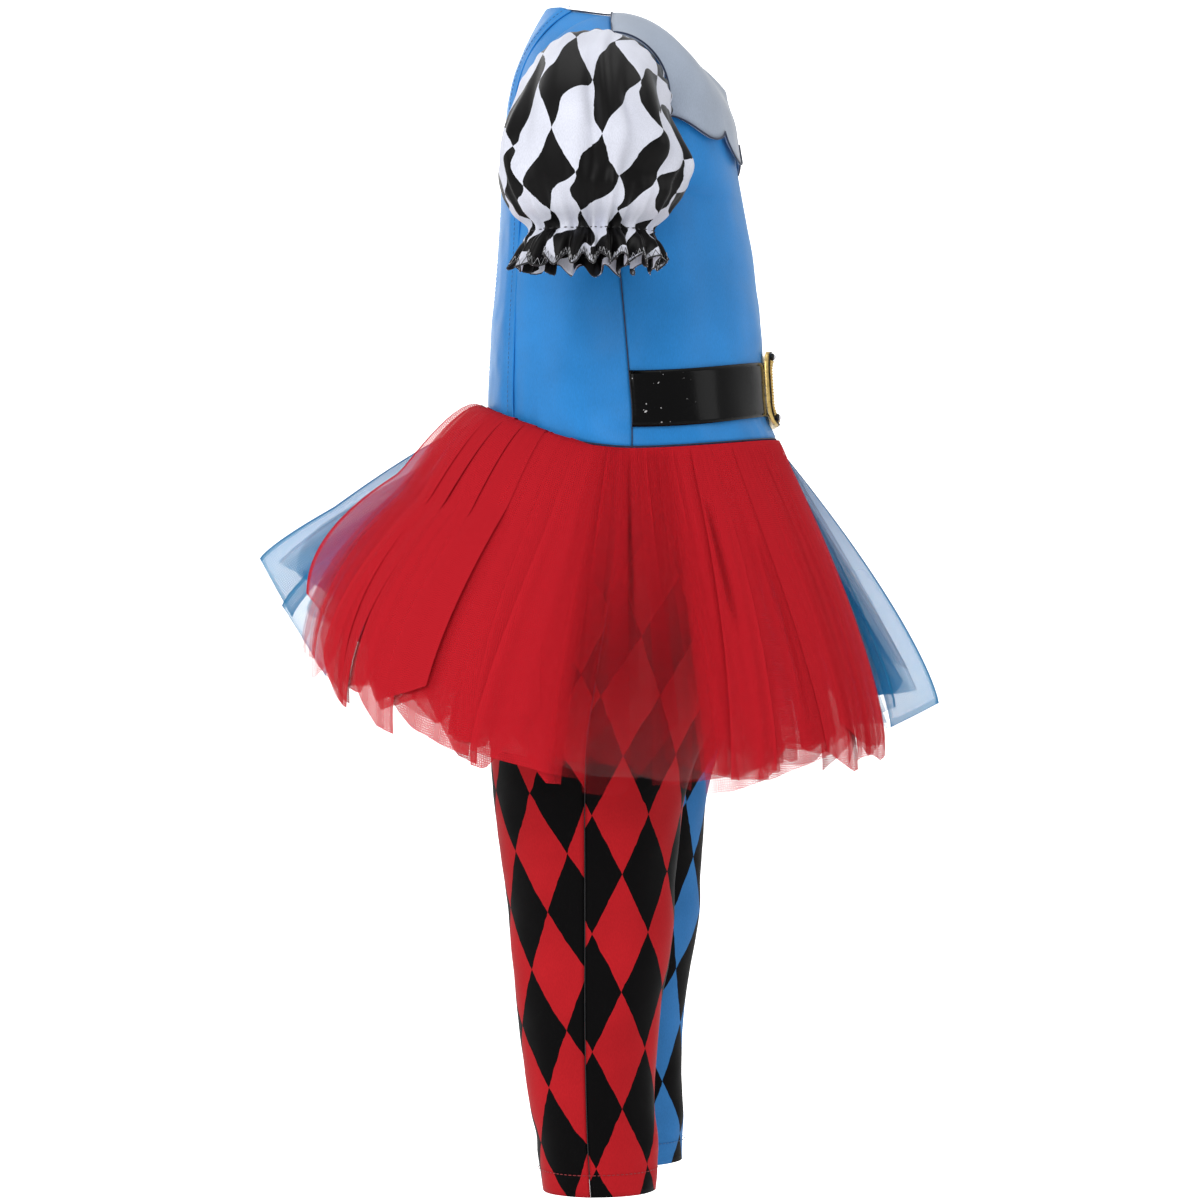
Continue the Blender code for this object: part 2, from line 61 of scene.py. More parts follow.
# Bodice. The yoke runs from the yoke line over the chest to the neckline and shoulder seam; near the neck it
# comes in along the neck's own run, and level by the share LEVEL_BY of the way to the armhole
YOKE_HEIGHT = -0.052
YOKE_PULL = 0.38
YOKE_SPREAD = 0.45
YOKE_PROBE = 0.01
LEVEL_BY = 0.6
FRONT_NECK_RUN = Vector((0, -0.1, -1)).normalized()
BACK_NECK_RUN = Vector((0, 0.5, -0.87)).normalized()
NECK_HALF_WIDTH = 0.055
NECK_SHARE = 0.5
NECK_ANGLE = math.radians(58)
SHOULDER_HALF_WIDTH = 0.094
SHOULDER_DROP = 0.017
FRONT_NECK_DEPTH = 0.0585
FRONT_NECK_DROP = 0.0325
FRONT_NECK_CURVE = 1.1
BACK_NECK_DEPTH = 0.0330
BACK_NECK_RISE = 0.0095
BACK_NECK_CURVE = 1.5
WAIST_BACK = -0.2059
WAIST_SIDE = -0.2215
WAIST_FRONT = -0.2137
WAIST_CURVE = 1.7

# height: level; half_width: centre to side; front_y, back_y: centre lines; seam_y: side seam
Level = namedtuple("Level", "height half_width front_y back_y seam_y")
TORSO = (
    Level(-0.232, 0.0980, -0.0900, 0.0585, -0.010),
    Level(-0.214, 0.0975, -0.0866, 0.0605, -0.010),
    Level(-0.203, 0.0972, -0.0818, 0.0622, -0.010),
    Level(-0.190, 0.0970, -0.0800, 0.0622, -0.009),
    Level(-0.155, 0.0968, -0.0785, 0.0603, -0.006),
    Level(-0.124, 0.0963, -0.0752, 0.0577, -0.003),
    Level(-0.100, 0.0952, -0.0708, 0.0560, 0.000),
    Level(-0.086, 0.0935, -0.0680, 0.0553, 0.001),
    Level(-0.070, 0.0890, -0.0652, 0.0545, 0.002),
    Level(YOKE_HEIGHT, 0.0865, -0.0630, 0.0532, 0.002),
)
CHEST = Vector((0, 0, -0.12))
ARMHOLE_FRONT = 0.030
ARMHOLE_BACK = 0.031
ARMPIT_RISE = 0.76
WAIST_STRIP = 0.0016

# Collar: two scallops each side of the centre front
COLLAR_NOTCH_HALF = 0.058
COLLAR_NOTCH_HEIGHT = -0.0590
COLLAR_CENTRE_HEIGHT = -0.0590
COLLAR_SCALLOP_DEPTH = 0.0135
COLLAR_SIDE_HEIGHT = -0.0530
COLLAR_SIDE_HALF = 0.088
COLLAR_SIDE_DEPTH = 0.0085
SCALLOP_CURVE = 0.6
HALVINGS = 30
COLLAR_LIFT = 0.0009

# Placket: a strip on the centre back, lapped to the wearer's right
PLACKET_RIGHT_STEPS = 6
PLACKET_LEFT_STEPS = 1

# Belt and buckle
BELT_HEIGHT = 0.0282
BELT_FRONT_CENTRE = -0.1880
BELT_SIDE_CENTRE = -0.1973
BELT_LIFT = 0.0007
BUCKLE_WIDTH = 0.052
BUCKLE_HEIGHT = 0.0405
BUCKLE_BAR = 0.0075
BUCKLE_THICKNESS = 0.0022
BUCKLE_CROWN = 0.0006
BUCKLE_POINTS = 32
BUCKLE_CORNER = 0.35

# Sleeve rings from the armhole to the ruffle's edge: where the ring's inner and outer points lie, its reach
# to the front and back, and how deep its gathers are
Ring = namedtuple("Ring", "inner_x inner_z outer_x outer_z front_y back_y gather")
SLEEVE = (
    Ring(0.0985, -0.0925, 0.1060, -0.0165, -0.0310, 0.0415, 0.0010),
    Ring(0.1005, -0.0940, 0.1270, -0.0190, -0.0315, 0.0455, 0.0014),
    Ring(0.1020, -0.0965, 0.1500, -0.0310, -0.0300, 0.0495, 0.0011),
    Ring(0.1030, -0.1000, 0.1700, -0.0510, -0.0340, 0.0530, 0.0008),
    Ring(0.1040, -0.1035, 0.1810, -0.0745, -0.0400, 0.0545, 0.0010),
    Ring(0.1050, -0.1075, 0.1825, -0.0945, -0.0360, 0.0510, 0.0016),
    Ring(0.1080, -0.1120, 0.1770, -0.1075, -0.0295, 0.0450, 0.0018),
    Ring(0.1105, -0.1160, 0.1700, -0.1160, -0.0250, 0.0400, 0.0012),
    Ring(0.1085, -0.1255, 0.1725, -0.1255, -0.0265, 0.0430, 0.0024),
    Ring(0.1055, -0.1380, 0.1770, -0.1380, -0.0290, 0.0475, 0.0036),
)
ARMHOLE_STEPS = 60
SLEEVE_MIDDLE = Vector((0.135, 0.008, -0.085))

# Skirt layers. The hem reaches out from the waist and drops below it, at the back, side and front; bow is how
# strongly the layer arches outward before it falls; hump is how far it stands over the waist seam at the back
Layer = namedtuple(
    "Layer",
    "name sides lift start back_reach back_drop side_reach side_drop front_reach front_drop "
    "back_bow front_bow hump fold_depth",
)
SKIRT = (
    Layer("skirt_right_outer", (-1,), 0.0017, 0.0003,
          0.098, 0.120, 0.071, 0.161, 0.057, 0.156, 2.8, 1.5, 0.0165, 0.0042),
    Layer("skirt_right_under", (-1,), 0.0018, 0.0034,
          0.080, 0.124, 0.052, 0.160, 0.042, 0.155, 2.6, 1.4, 0.0085, 0.0030),
    Layer("skirt_left_outer", (1,), 0.0017, 0.0003,
          0.125, 0.072, 0.101, 0.140, 0.088, 0.138, 1.5, 1.15, 0.0130, 0.0045),
    Layer("skirt_left_under", (1,), 0.0018, 0.0034,
          0.108, 0.097, 0.080, 0.152, 0.065, 0.151, 1.7, 1.2, 0.0065, 0.0032),
    Layer("skirt_petticoat", (-1, 1), 0.0020, 0.0077,
          0.058, 0.129, 0.032, 0.157, 0.027, 0.153, 2.2, 1.3, 0.0, 0.0022),
)
SKIRT_HALF_GAP = 0.0008
HUMP_END = 0.28
HUMP_FADE = 1.2

# Leggings, for the wearer's left leg, mirrored for the right: outer and inner points, then the outseam and
# the front and back lines
Leg = namedtuple("Leg", "height outer_x inner_x seam_y front_y back_y")
LEG = (
    Leg(-0.232, 0.0966, -0.0966, -0.0100, -0.0882, 0.0590),
    Leg(-0.255, 0.0978, -0.0840, -0.0060, -0.0832, 0.0618),
    Leg(-0.290, 0.1000, -0.0600, 0.0000, -0.0757, 0.0670),
    Leg(-0.325, 0.1000, -0.0280, 0.0060, -0.0660, 0.0670),
    Leg(-0.350, 0.0985, -0.0080, 0.0100, -0.0560, 0.0650),
    Leg(-0.368, 0.0970, 0.0012, 0.0125, -0.0480, 0.0625),
    Leg(-0.394, 0.0945, 0.0045, 0.0135, -0.0380, 0.0597),
    Leg(-0.434, 0.0905, 0.0085, 0.0135, -0.0330, 0.0555),
    Leg(-0.470, 0.0870, 0.0125, 0.0135, -0.0310, 0.0512),
    Leg(-0.509, 0.0825, 0.0155, 0.0135, -0.0245, 0.0477),
    Leg(-0.545, 0.0790, 0.0175, 0.0130, -0.0220, 0.0434),
    Leg(-0.574, 0.0765, 0.0185, 0.0120, -0.0235, 0.0380),
    Leg(-0.598, 0.0750, 0.0195, 0.0105, -0.0223, 0.0355),
)
LEFT_LEG_FORWARD = 0.016
STRIDE_START = -0.255
STRIDE_END = -0.394

UV_MAP = "cloth"
COVER = "cover"
CLOTH_WALL = 0.0006

# How finely the visible cloth is made
BODICE_COLUMNS = 60
BODICE_ROWS = 70
PLACKET_STEP = 0.05
COLLAR_COLUMNS = 100
COLLAR_REACH = 0.985
COLLAR_ROWS = 26
SLEEVE_COLUMNS = 288
SLEEVE_RINGS = 120
LEG_COLUMNS = 48
LEG_ROWS = 130
LEG_MIDDLE = -0.42
BELT_STEPS = 120
BELT_ROWS = 12
NET_COLUMNS = 260
NET_ROWS = 40
STRIP_COLUMNS = 14
VANE_STEPS = (0.0, 0.015) + tuple(step / 14 for step in range(1, 15))
NET_ROW_GROWTH = 1.1

# Narrow gaps between the red strips: place round the half skirt, half width, start and end down the skirt
RED_SLITS = (
    (0.494, 0.0035, 0.02, 0.62),
    (0.622, 0.006, 0.15, 0.55),
    (0.70, 0.003, 0.3, 0.9),
    (0.56, 0.0025, 0.3, 0.8),
)

# Where the red net changes from dense to thin and back, round the half skirt, and its density in between
RED_BACK_END = 0.455
RED_FRONT_START = 0.555
RED_FRONT_COVER = 0.74
RED_LEG_COVER = (0.42, 0.10)
BLUE_EDGE_COVER = 0.42

# How a row of net strips is cut and hung, as shares of the half skirt or metres
Strips = namedtuple("Strips", "width spread arch length slant dense push tame start")

# A strip that stands edgeways: its place round the half skirt, and the reach and drop of its two edges
Vane = namedtuple("Vane", "layer share lean high_reach high_drop low_reach low_drop cover hump_end fold")

# The sleeve's print: diamonds round the ring, how they lean, and how many diamonds down each ring lies
SLEEVE_DIAMONDS = 11
SLEEVE_PRINT_LEAN = 0.458
SLEEVE_PRINT = (
    (-1.0, -1.5), (0.2, -1.0), (1.45, -0.5), (2.7, 0.0), (3.95, 0.5),
    (5.1, 1.0), (6.6, 1.5), (8.2, 2.0), (9.0, 2.3),
)

# The sleeves: name, side and seed of their folds; the elastic's ring; and how the ruffle and edge are shaped
SLEEVES = (("right", -1, 0.4), ("left", 1, 2.3))
ELASTIC_ROW = 8.35
SLEEVE_BACK = 0.0024
RUFFLE_SHORT = 0.82
RUFFLE_CURL = 0.0028
OVERLOCK_STEP = 2
OVERLOCK_RINGS = 6

# The leggings' print, in metres across and along for one diamond
PRINT_WIDTH = 0.0305
PRINT_BACK_WIDTH = 0.0311
PRINT_HEIGHT = 0.0596
PRINT_FRONT_LEVEL = -0.4045
PRINT_RIGHT_START = -0.0036
PRINT_LEFT_START = -0.0114
PRINT_LEFT_LEVEL = -0.4339
PRINT_LEFT_LEAN = 0.09
PRINT_BACK_LEVEL = -0.3937
PRINT_BACK_START = 0.0177
PRINT_BACK_LEAN = 0.1667
PRINT_BACK_DROP = 0.0297

# Creases in the cloth: height, size and seed of each layer of unevenness
BODICE_CREASES = ((0.0011, 0.045, 1), (0.0005, 0.02, 2))
COLLAR_CREASES = ((0.0006, 0.03, 5), (0.0003, 0.012, 6))
LEG_CREASES = ((0.0009, 0.04, 8), (0.0004, 0.015, 9))
PULL_DEPTH = 0.0005
PUCKER_DEPTH = 0.00035
PUCKER_PITCH = 0.0035
PLACKET_EDGE_LIFT = 0.0007
PLACKET_CREASE = 0.0004
COLLAR_ROLL = 0.0011
COLLAR_WALL = 0.0010
LEG_WRINKLE = 0.0008

# Buckle: section of the frame as insets and lifts, the rows of beads and the studs' places
BUCKLE_SECTION = (
    (0.0, 0.0), (0.0, 0.0016), (0.0009, 0.0022), (0.0022, 0.0024), (0.0037, 0.0028), (0.0053, 0.0024),
    (0.0066, 0.0022), (0.0075, 0.0016), (0.0075, 0.0),
)
BEAD_INSETS = (0.0022, 0.0053)
STUD_OUT = 0.0222
STUD_UP = 0.0165

# Each sheet's flat cut, width and length in metres
RED_FLATS = ((0.56, 0.180), (0.54, 0.175), (0.50, 0.175))
BLUE_FLATS = ((0.60, 0.175), (0.55, 0.170), (0.55, 0.170))
HEM_STITCH_HEIGHT = -0.5865

# How far the threads lie off the cloth, and how opaque each colour of net is
SEAM_LIFT = 0.0003
STITCH_LIFT = 0.0005
OVERLOCK_LIFT = 0.0007
RED_ALPHA = 0.90
BLUE_ALPHA = 0.80
PALE_ALPHA = 0.50
ALPHA_RANGE = (0.02, 0.97)

# Camera, in the photo's own place, and the studio
CAMERA_PLACE = Vector((-1.8, 0.0058, -0.2972))
CAMERA_AIM = Vector((0.0, 0.0058, -0.2972))
SENSOR = 36.0
LENS = 102.86
FLOOR_HEIGHT = -0.75
FLOOR_NEAR = -3.5
FLOOR_FAR = 2.2
SWEEP = 0.8
BACKDROP_TOP = 3.0
BACKDROP_HALF = 3.2

# name, place, width and height, watts
LIGHTS = (
    ("key", (-2.0, 0.7, 0.7), (1.6, 1.4), 20.0),
    ("front", (-0.4, -1.9, 0.3), (0.7, 1.6), 5.0),
    ("back", (-0.3, 1.9, 0.3), (0.7, 1.6), 6.0),
    ("far", (1.9, 0.3, 0.2), (1.4, 1.4), 7.0),
    ("top", (0.0, 0.0, 1.6), (1.4, 1.4), 6.0),
)


def mix(first, second, share):
    """The value that lies this share of the way from the first to the second."""
    return first + (second - first) * share


def ease(share):
    """0 up to 0, 1 from 1, and a soft rise between."""
    share = min(max(share, 0.0), 1.0)
    return share * share * (3 - 2 * share)


def smooth_between(low, high, start, end, share):
    """A value between two others that leaves the first and reaches the second with the given slopes."""
    return (
        low * (1 + 2 * share) * (1 - share) ** 2
        + start * share * (1 - share) ** 2
        + high * share**2 * (3 - 2 * share)
        - end * share**2 * (1 - share)
    )


def read(table, height):
    """The table's row at a height, smoothly between its own rows."""
    rows = sorted(table, key=lambda row: row.height)
    height = min(max(height, rows[0].height), rows[-1].height)
    index = max(i for i in range(len(rows) - 1) if rows[i].height <= height)
    before, low = rows[max(index - 1, 0)], rows[index]
    high, after = rows[index + 1], rows[min(index + 2, len(rows) - 1)]
    span = high.height - low.height
    share = (height - low.height) / span
    values = []
    for column in range(len(low)):
        start = (high[column] - before[column]) / (high.height - before.height) * span
        end = (after[column] - low[column]) / (after.height - low.height) * span
        values.append(smooth_between(low[column], high[column], start, end, share))
    return type(low)(*values)


def around(turn, back, side, front):
    """A value round the waist: turn is 0 at the centre back, a right angle at the side, two at the front."""
    end = back if turn < math.pi / 2 else front
    return side + (end - side) * abs(math.cos(turn)) ** WAIST_CURVE


def waist_height(turn):
    """Height of the waist seam."""
    return around(turn, WAIST_BACK, WAIST_SIDE, WAIST_FRONT)


def panel_angle(across):
    """Angle from the centre line, for a place across a panel from 0 at its centre to 1 at its side edge."""
    if across <= NECK_SHARE:
        return NECK_ANGLE * across / NECK_SHARE
    return mix(NECK_ANGLE, math.pi / 2, (across - NECK_SHARE) / (1 - NECK_SHARE))


def armhole_share(height):
    """How far the armhole's edge has left the side seam: 0 up to the armpit, 1 at the yoke line."""
    armpit = mix(WAIST_SIDE, YOKE_HEIGHT, ARMPIT_RISE)
    share = min(max((height - armpit) / (YOKE_HEIGHT - armpit), 0.0), 1.0)
    return math.sqrt(1 - (1 - share) ** 2)


def trunk_point(angle, height, front):
    """A point on the trunk's front or back, at an angle from its centre line."""
    level = read(TORSO, height)
    spread = -ARMHOLE_FRONT if front else ARMHOLE_BACK
    edge = level.seam_y + spread * armhole_share(height)
    centre = level.front_y if front else level.back_y
    return Vector((level.half_width * math.sin(angle), mix(edge, centre, math.cos(angle)), height))


def top_edge(across, front):
    """The neckline, then the shoulder seam."""
    if across <= NECK_SHARE:
        turn = across / NECK_SHARE * math.pi / 2
        out = NECK_HALF_WIDTH * math.sin(turn)
        fall = max(math.cos(turn), 0.0)
        if front:
            return Vector((out, -FRONT_NECK_DEPTH * fall, -FRONT_NECK_DROP * fall**FRONT_NECK_CURVE))
        return Vector((out, BACK_NECK_DEPTH * fall, BACK_NECK_RISE * fall**BACK_NECK_CURVE))
    share = (across - NECK_SHARE) / (1 - NECK_SHARE)
    return Vector((mix(NECK_HALF_WIDTH, SHOULDER_HALF_WIDTH, share), 0.0, -SHOULDER_DROP * share))


def yoke_point(across, rise, front):
    """From the yoke line at rise 0 over the chest or shoulder blade to the top edge at rise 1."""
    angle = panel_angle(across)
    start = trunk_point(angle, YOKE_HEIGHT, front)
    below = trunk_point(angle, YOKE_HEIGHT - YOKE_PROBE, front)
    end = top_edge(across, front)
    level = Vector((0, -1 if front else 1, 0))
    arrive = (FRONT_NECK_RUN if front else BACK_NECK_RUN).lerp(level, ease(across / LEVEL_BY))
    arrive.x += YOKE_SPREAD * math.sin(math.pi * across) ** 2
    arrive.normalize()
    pull = (end - start).length * YOKE_PULL
    first = start + (start - below).normalized() * pull
    second = end + arrive * pull
    left = 1 - rise
    return start * left**3 + first * 3 * left**2 * rise + second * 3 * left * rise**2 + end * rise**3


def bodice_point(across, rise, front):
    """A point on the bodice's left half: rise is 0 at the waist, 1 at the yoke line and 2 at the top."""
    if rise > 1:
        point = yoke_point(across, rise - 1, front)
    else:
        angle = panel_angle(across)
        waist = waist_height(math.pi - angle if front else angle)
        height = mix(waist, YOKE_HEIGHT, rise)
        point = trunk_point(angle, max(height, waist + WAIST_STRIP), front)
        point.z = height
    point.y += (-SEAM_GAP if front else SEAM_GAP) * 0.5
    return point


def mirrored_bodice(across, rise, front):
    """A point on the bodice; across is below 0 on the wearer's right."""
    point = bodice_point(abs(across), rise, front)
    point.x = math.copysign(point.x, across) if across else 0.0
    return point


def lifted(surface, first, second, lift):
    """A surface's point moved straight out of it, away from the garment's middle."""
    point = surface(first, second)
    along = surface(first + SURFACE_STEP, second) - surface(first - SURFACE_STEP, second)
    up = surface(first, second + SURFACE_STEP) - surface(first, second - SURFACE_STEP)
    normal = along.cross(up).normalized()
    if normal.dot(point - CHEST) < 0:
        normal.negate()
    return point + normal * lift


def steps(start, end, count):
    """Evenly spaced values, both ends among them."""
    return [mix(start, end, index / count) for index in range(count + 1)]


def collar_edge(out):
    """Height of the collar's scalloped edge at a distance from the centre front."""
    if out <= COLLAR_NOTCH_HALF:
        share = out / COLLAR_NOTCH_HALF
        base = mix(COLLAR_CENTRE_HEIGHT, COLLAR_NOTCH_HEIGHT, share)
        return base - COLLAR_SCALLOP_DEPTH * math.sin(math.pi * share) ** SCALLOP_CURVE
    share = min((out - COLLAR_NOTCH_HALF) / (COLLAR_SIDE_HALF - COLLAR_NOTCH_HALF), 1.0)
    base = mix(COLLAR_NOTCH_HEIGHT, COLLAR_SIDE_HEIGHT, share)
    return base - COLLAR_SIDE_DEPTH * math.sin(math.pi * share) ** SCALLOP_CURVE


def rise_at_height(across, height):
    """The bodice front's rise where it reaches a height, found by halving."""
    low, high = 0.0, 2.0
    for _ in range(HALVINGS):
        middle = (low + high) / 2
        if bodice_point(across, middle, True).z < height:
            low = middle
        else:
            high = middle
    return low


def front_surface(across, rise):
    """The bodice front, held at its top edge."""
    return mirrored_bodice(across, min(rise, 2.0), True)


def back_surface(across, rise):
    """The bodice back, held at its top edge."""
    return mirrored_bodice(across, min(rise, 2.0), False)


def waist_front(angle, height):
    """The front under the belt."""
    return trunk_point(angle, height, True) - Vector((0, SEAM_GAP / 2, 0))


def belt_centre(angle):
    """Height of the belt's middle line."""
    return mix(BELT_SIDE_CENTRE, BELT_FRONT_CENTRE, math.cos(angle) ** 2)


def buckle_outline(inset):
    """Points round the buckle's rectangle, corners rounded, as distances from its centre."""
    points = []
    half_width = BUCKLE_WIDTH / 2 - inset
    half_height = BUCKLE_HEIGHT / 2 - inset
    for index in range(BUCKLE_POINTS):
        turn = math.tau * (index + 0.5) / BUCKLE_POINTS
        across, up = math.cos(turn), math.sin(turn)
        points.append(
            (
                half_width * math.copysign(abs(across) ** BUCKLE_CORNER, across),
                half_height * math.copysign(abs(up) ** BUCKLE_CORNER, up),
            )
        )
    return points


def leg_point(row, share, front, height, forward):
    """share is 0 at the outseam and 1 at the inseam, or at the centre seam above the crotch."""
    centre = (row.outer_x + row.inner_x) / 2
    half = (row.outer_x - row.inner_x) / 2
    end = math.acos(max((SEAM_GAP / 2 - centre) / half, -1.0))
    angle = end * share
    depth = row.front_y - row.seam_y if front else row.back_y - row.seam_y
    gap = -SEAM_GAP / 2 if front else SEAM_GAP / 2
    return Vector(
        (centre + half * math.cos(angle), row.seam_y + depth * math.sin(angle) + gap - forward, height)
    )


def leggings_waist(share, front):
    """The top edge, just under the bodice's lower edge."""
    angle = math.pi / 2 * (1 - share)
    waist = waist_height(math.pi - angle if front else angle)
    point = trunk_point(angle, waist + WAIST_STRIP, front)
    point.x = max(point.x, SEAM_GAP / 2)
    point.y += (-SEAM_GAP if front else SEAM_GAP) / 2
    point.z = waist - SEAM_GAP
    return point


def armhole_ring(count):
    """Evenly spaced points round the armhole, from the shoulder seam down the back and up the front."""
    rises = steps(2.0, ARMPIT_RISE, ARMHOLE_STEPS)
    line = [bodice_point(1.0, rise, False) for rise in rises]
    line += [bodice_point(1.0, rise, True) for rise in reversed(rises)]
    return respaced(line, count)


def respaced(line, count, closed=True):
    """Evenly spaced points along a line; a closed one leaves out its end, which is its start again."""
    lengths = [0.0]
    for first, second in zip(line, line[1:]):
        lengths.append(lengths[-1] + (second - first).length)
    found, place = [], 0
    for index in range(count):
        wanted = lengths[-1] * index / (count if closed else count - 1)
        while place < len(line) - 2 and lengths[place + 1] < wanted:
            place += 1
        share = (wanted - lengths[place]) / max(lengths[place + 1] - lengths[place], 1e-9)
        found.append(line[place].lerp(line[place + 1], min(share, 1.0)))
    return found


def sleeve_point(row, turn):
    """A point on a sleeve ring: turn is 0 outward, on top, and grows towards the back."""
    inner = Vector((row.inner_x, 0, row.inner_z))
    outer = Vector((row.outer_x, 0, row.outer_z))
    centre = (inner + outer) / 2 + Vector((0, (row.front_y + row.back_y) / 2, 0))
    across = (outer - inner) / 2
    deep = Vector((0, (row.back_y - row.front_y) / 2, 0))
    out = across * math.cos(turn) + deep * math.sin(turn)
    return centre + out, out.normalized()


def skirt_point(layer, side, turn_share, run, loose=0.0, hem=None, hump_end=HUMP_END):
    """Run is 0 at the waist seam and 1 at the hem; the share is 0 at the centre back and 1 at the front."""
    turn = math.pi * turn_share
    waist = waist_height(turn)
    level = read(TORSO, waist)
    depth_end = level.back_y + layer.lift if turn < math.pi / 2 else level.front_y - layer.lift
    out_x = (level.half_width + layer.lift) * math.sin(turn)
    out_y = mix(level.seam_y, depth_end, abs(math.cos(turn)))
    away = Vector((math.sin(turn) / level.half_width, math.cos(turn) / abs(depth_end), 0)).normalized()
    reach = around(turn, layer.back_reach, layer.side_reach, layer.front_reach)
    drop = around(turn, layer.back_drop, layer.side_drop, layer.front_drop)
    bow = around(turn, layer.back_bow, layer.front_bow, layer.front_bow)
    fall = run * (1.0 if hem is None else hem)
    out = reach * (1 - max(1 - fall, 0.0) ** bow)
    swell = math.sin(math.pi * math.sqrt(min(run / hump_end, 1)))
    hump = layer.hump * max(math.cos(turn), 0) ** HUMP_FADE * swell
    place = Vector((out_x, out_y, waist - layer.start - drop * fall + hump))
    place += away * (out + loose)
    return Vector((side * place.x, place.y, place.z)), Vector((side * away.x, away.y, 0))


def between(rows, place):
    """A named row between the table's rows, smoothly, for a place counted in rows."""
    place = min(max(place, 0.0), len(rows) - 1.0)
    index = min(int(place), len(rows) - 2)
    share = place - index
    before, low = rows[max(index - 1, 0)], rows[index]
    high, after = rows[index + 1], rows[min(index + 2, len(rows) - 1)]
    values = []
    for a, b, c, d in zip(before, low, high, after):
        values.append(smooth_between(b, c, (c - a) / 2, (d - b) / 2, share))
    return type(low)(*values)


def unevenness(point, scale, seed=0.0):
    """Smooth noise from -1 to 1 over the cloth, with features of the given size."""
    return noise.noise(Vector(point) / scale + Vector((seed, 2 * seed, -seed)))


def normals_of(grid, ring):
    """Unit normals of a grid of points."""
    rows, columns = len(grid), len(grid[0])
    found = []
    for r in range(rows):
        line = []
        for c in range(columns):
            before = (c - 1) % columns if ring else max(c - 1, 0)
            after = (c + 1) % columns if ring else min(c + 1, columns - 1)
            along = grid[r][after] - grid[r][before]
            up = grid[min(r + 1, rows - 1)][c] - grid[max(r - 1, 0)][c]
            line.append(along.cross(up).normalized())
        found.append(line)
    return found


def raised(grid, height, ring=False, middle=None):
    """The grid with each point moved out of the cloth by height(row share, column share, point)."""
    rows, columns = len(grid), len(grid[0])
    normals = normals_of(grid, ring)
    facing = 0.0
    for line, normal_line in zip(grid[:: max(rows // 8, 1)], normals[:: max(rows // 8, 1)]):
        for point, normal in zip(line, normal_line):
            facing += normal.dot(point - (middle or CHEST))
    sign = 1 if facing > 0 else -1
    last = columns if ring else columns - 1
    return [
        [
            point + normals[r][c] * sign * height(r / (rows - 1), c / last, point)
            for c, point in enumerate(grid[r])
        ]
        for r in range(rows)
    ]


def measured(grid, anchor, ring=False):
    """The cloth's own measure at each point: across from the anchor column and along from the first row."""
    table = []
    along = [0.0] * (len(grid[0]) + ring)
    for r, row in enumerate(grid):
        line = list(row) + [row[0]] * ring
        across = [0.0]
        for first, second in zip(line, line[1:]):
            across.append(across[-1] + (second - first).length)
        if r:
            above = grid[r - 1] + [grid[r - 1][0]] * ring
            along = [total + (here - there).length for total, here, there in zip(along, line, above)]
        table.append([(value - across[anchor], total) for value, total in zip(across, along)])
    return table


def cloth(name, grid, measure, material, middle=None, wall=0.0, ring=False, cover=None):
    """A sheet of cloth from rows of points, faces outwards, with its measure as the UV map in metres."""
    return patched(name, [(grid, measure, cover)], material, middle, wall, ring)


def patched(name, patches, material, middle=None, wall=0.0, ring=False):
    """One piece of cloth from several patches; each is its rows of points, their measure and their cover."""
    points, faces, places, covers = [], [], [], []
    for grid, measure, cover in patches:
        first, columns = len(points), len(grid[0])
        points.extend(point for row in grid for point in row)
        covers.extend(value for row in cover or [[1.0] * columns] * len(grid) for value in row)
        own, own_places, facing = [], [], 0.0
        for r in range(len(grid) - 1):
            for c in range(columns if ring else columns - 1):
                after = (c + 1) % columns
                start, end = first + r * columns, first + (r + 1) * columns
                corners = (start + c, start + after, end + after, end + c)
                own.append(corners)
                own_places.append((*measure[r][c : c + 2], *measure[r + 1][c : c + 2][::-1]))
                low, low_after, high_after, high = (points[i] for i in corners)
                facing += (high_after - low).cross(high - low_after).dot(low - (middle or CHEST))
        turn = -1 if facing < 0 else 1
        faces.extend(corners[::turn] for corners in own)
        places.extend(corners[::turn] for corners in own_places)
    mesh = bpy.data.meshes.new(name)
    mesh.from_pydata(points, [], faces)
    layer = mesh.uv_layers.new(name=UV_MAP)
    layer.data.foreach_set("uv", [value for corners in places for place in corners for value in place])
    values = mesh.attributes.new(COVER, "FLOAT", "POINT")
    values.data.foreach_set("value", covers)
    mesh.shade_smooth()
    return placed(name, mesh, material, wall)


def placed(name, mesh, material, wall=0.0):
    """A finished piece at the origin, riding on the costume's one body."""
    piece = bpy.data.objects.new(name, mesh)
    bpy.context.scene.collection.objects.link(piece)
    mesh.materials.clear()
    mesh.materials.append(material)
    if wall:
        solid = piece.modifiers.new("wall", "SOLIDIFY")
        solid.thickness = wall
        solid.offset = -1
    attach(piece, "root")
    return piece


def sizes():
    """The add-on's own settings."""
    return bpy.context.scene.baby_costume


# Geometry Nodes: threads and rows of stitches or beads that follow a path over the cloth


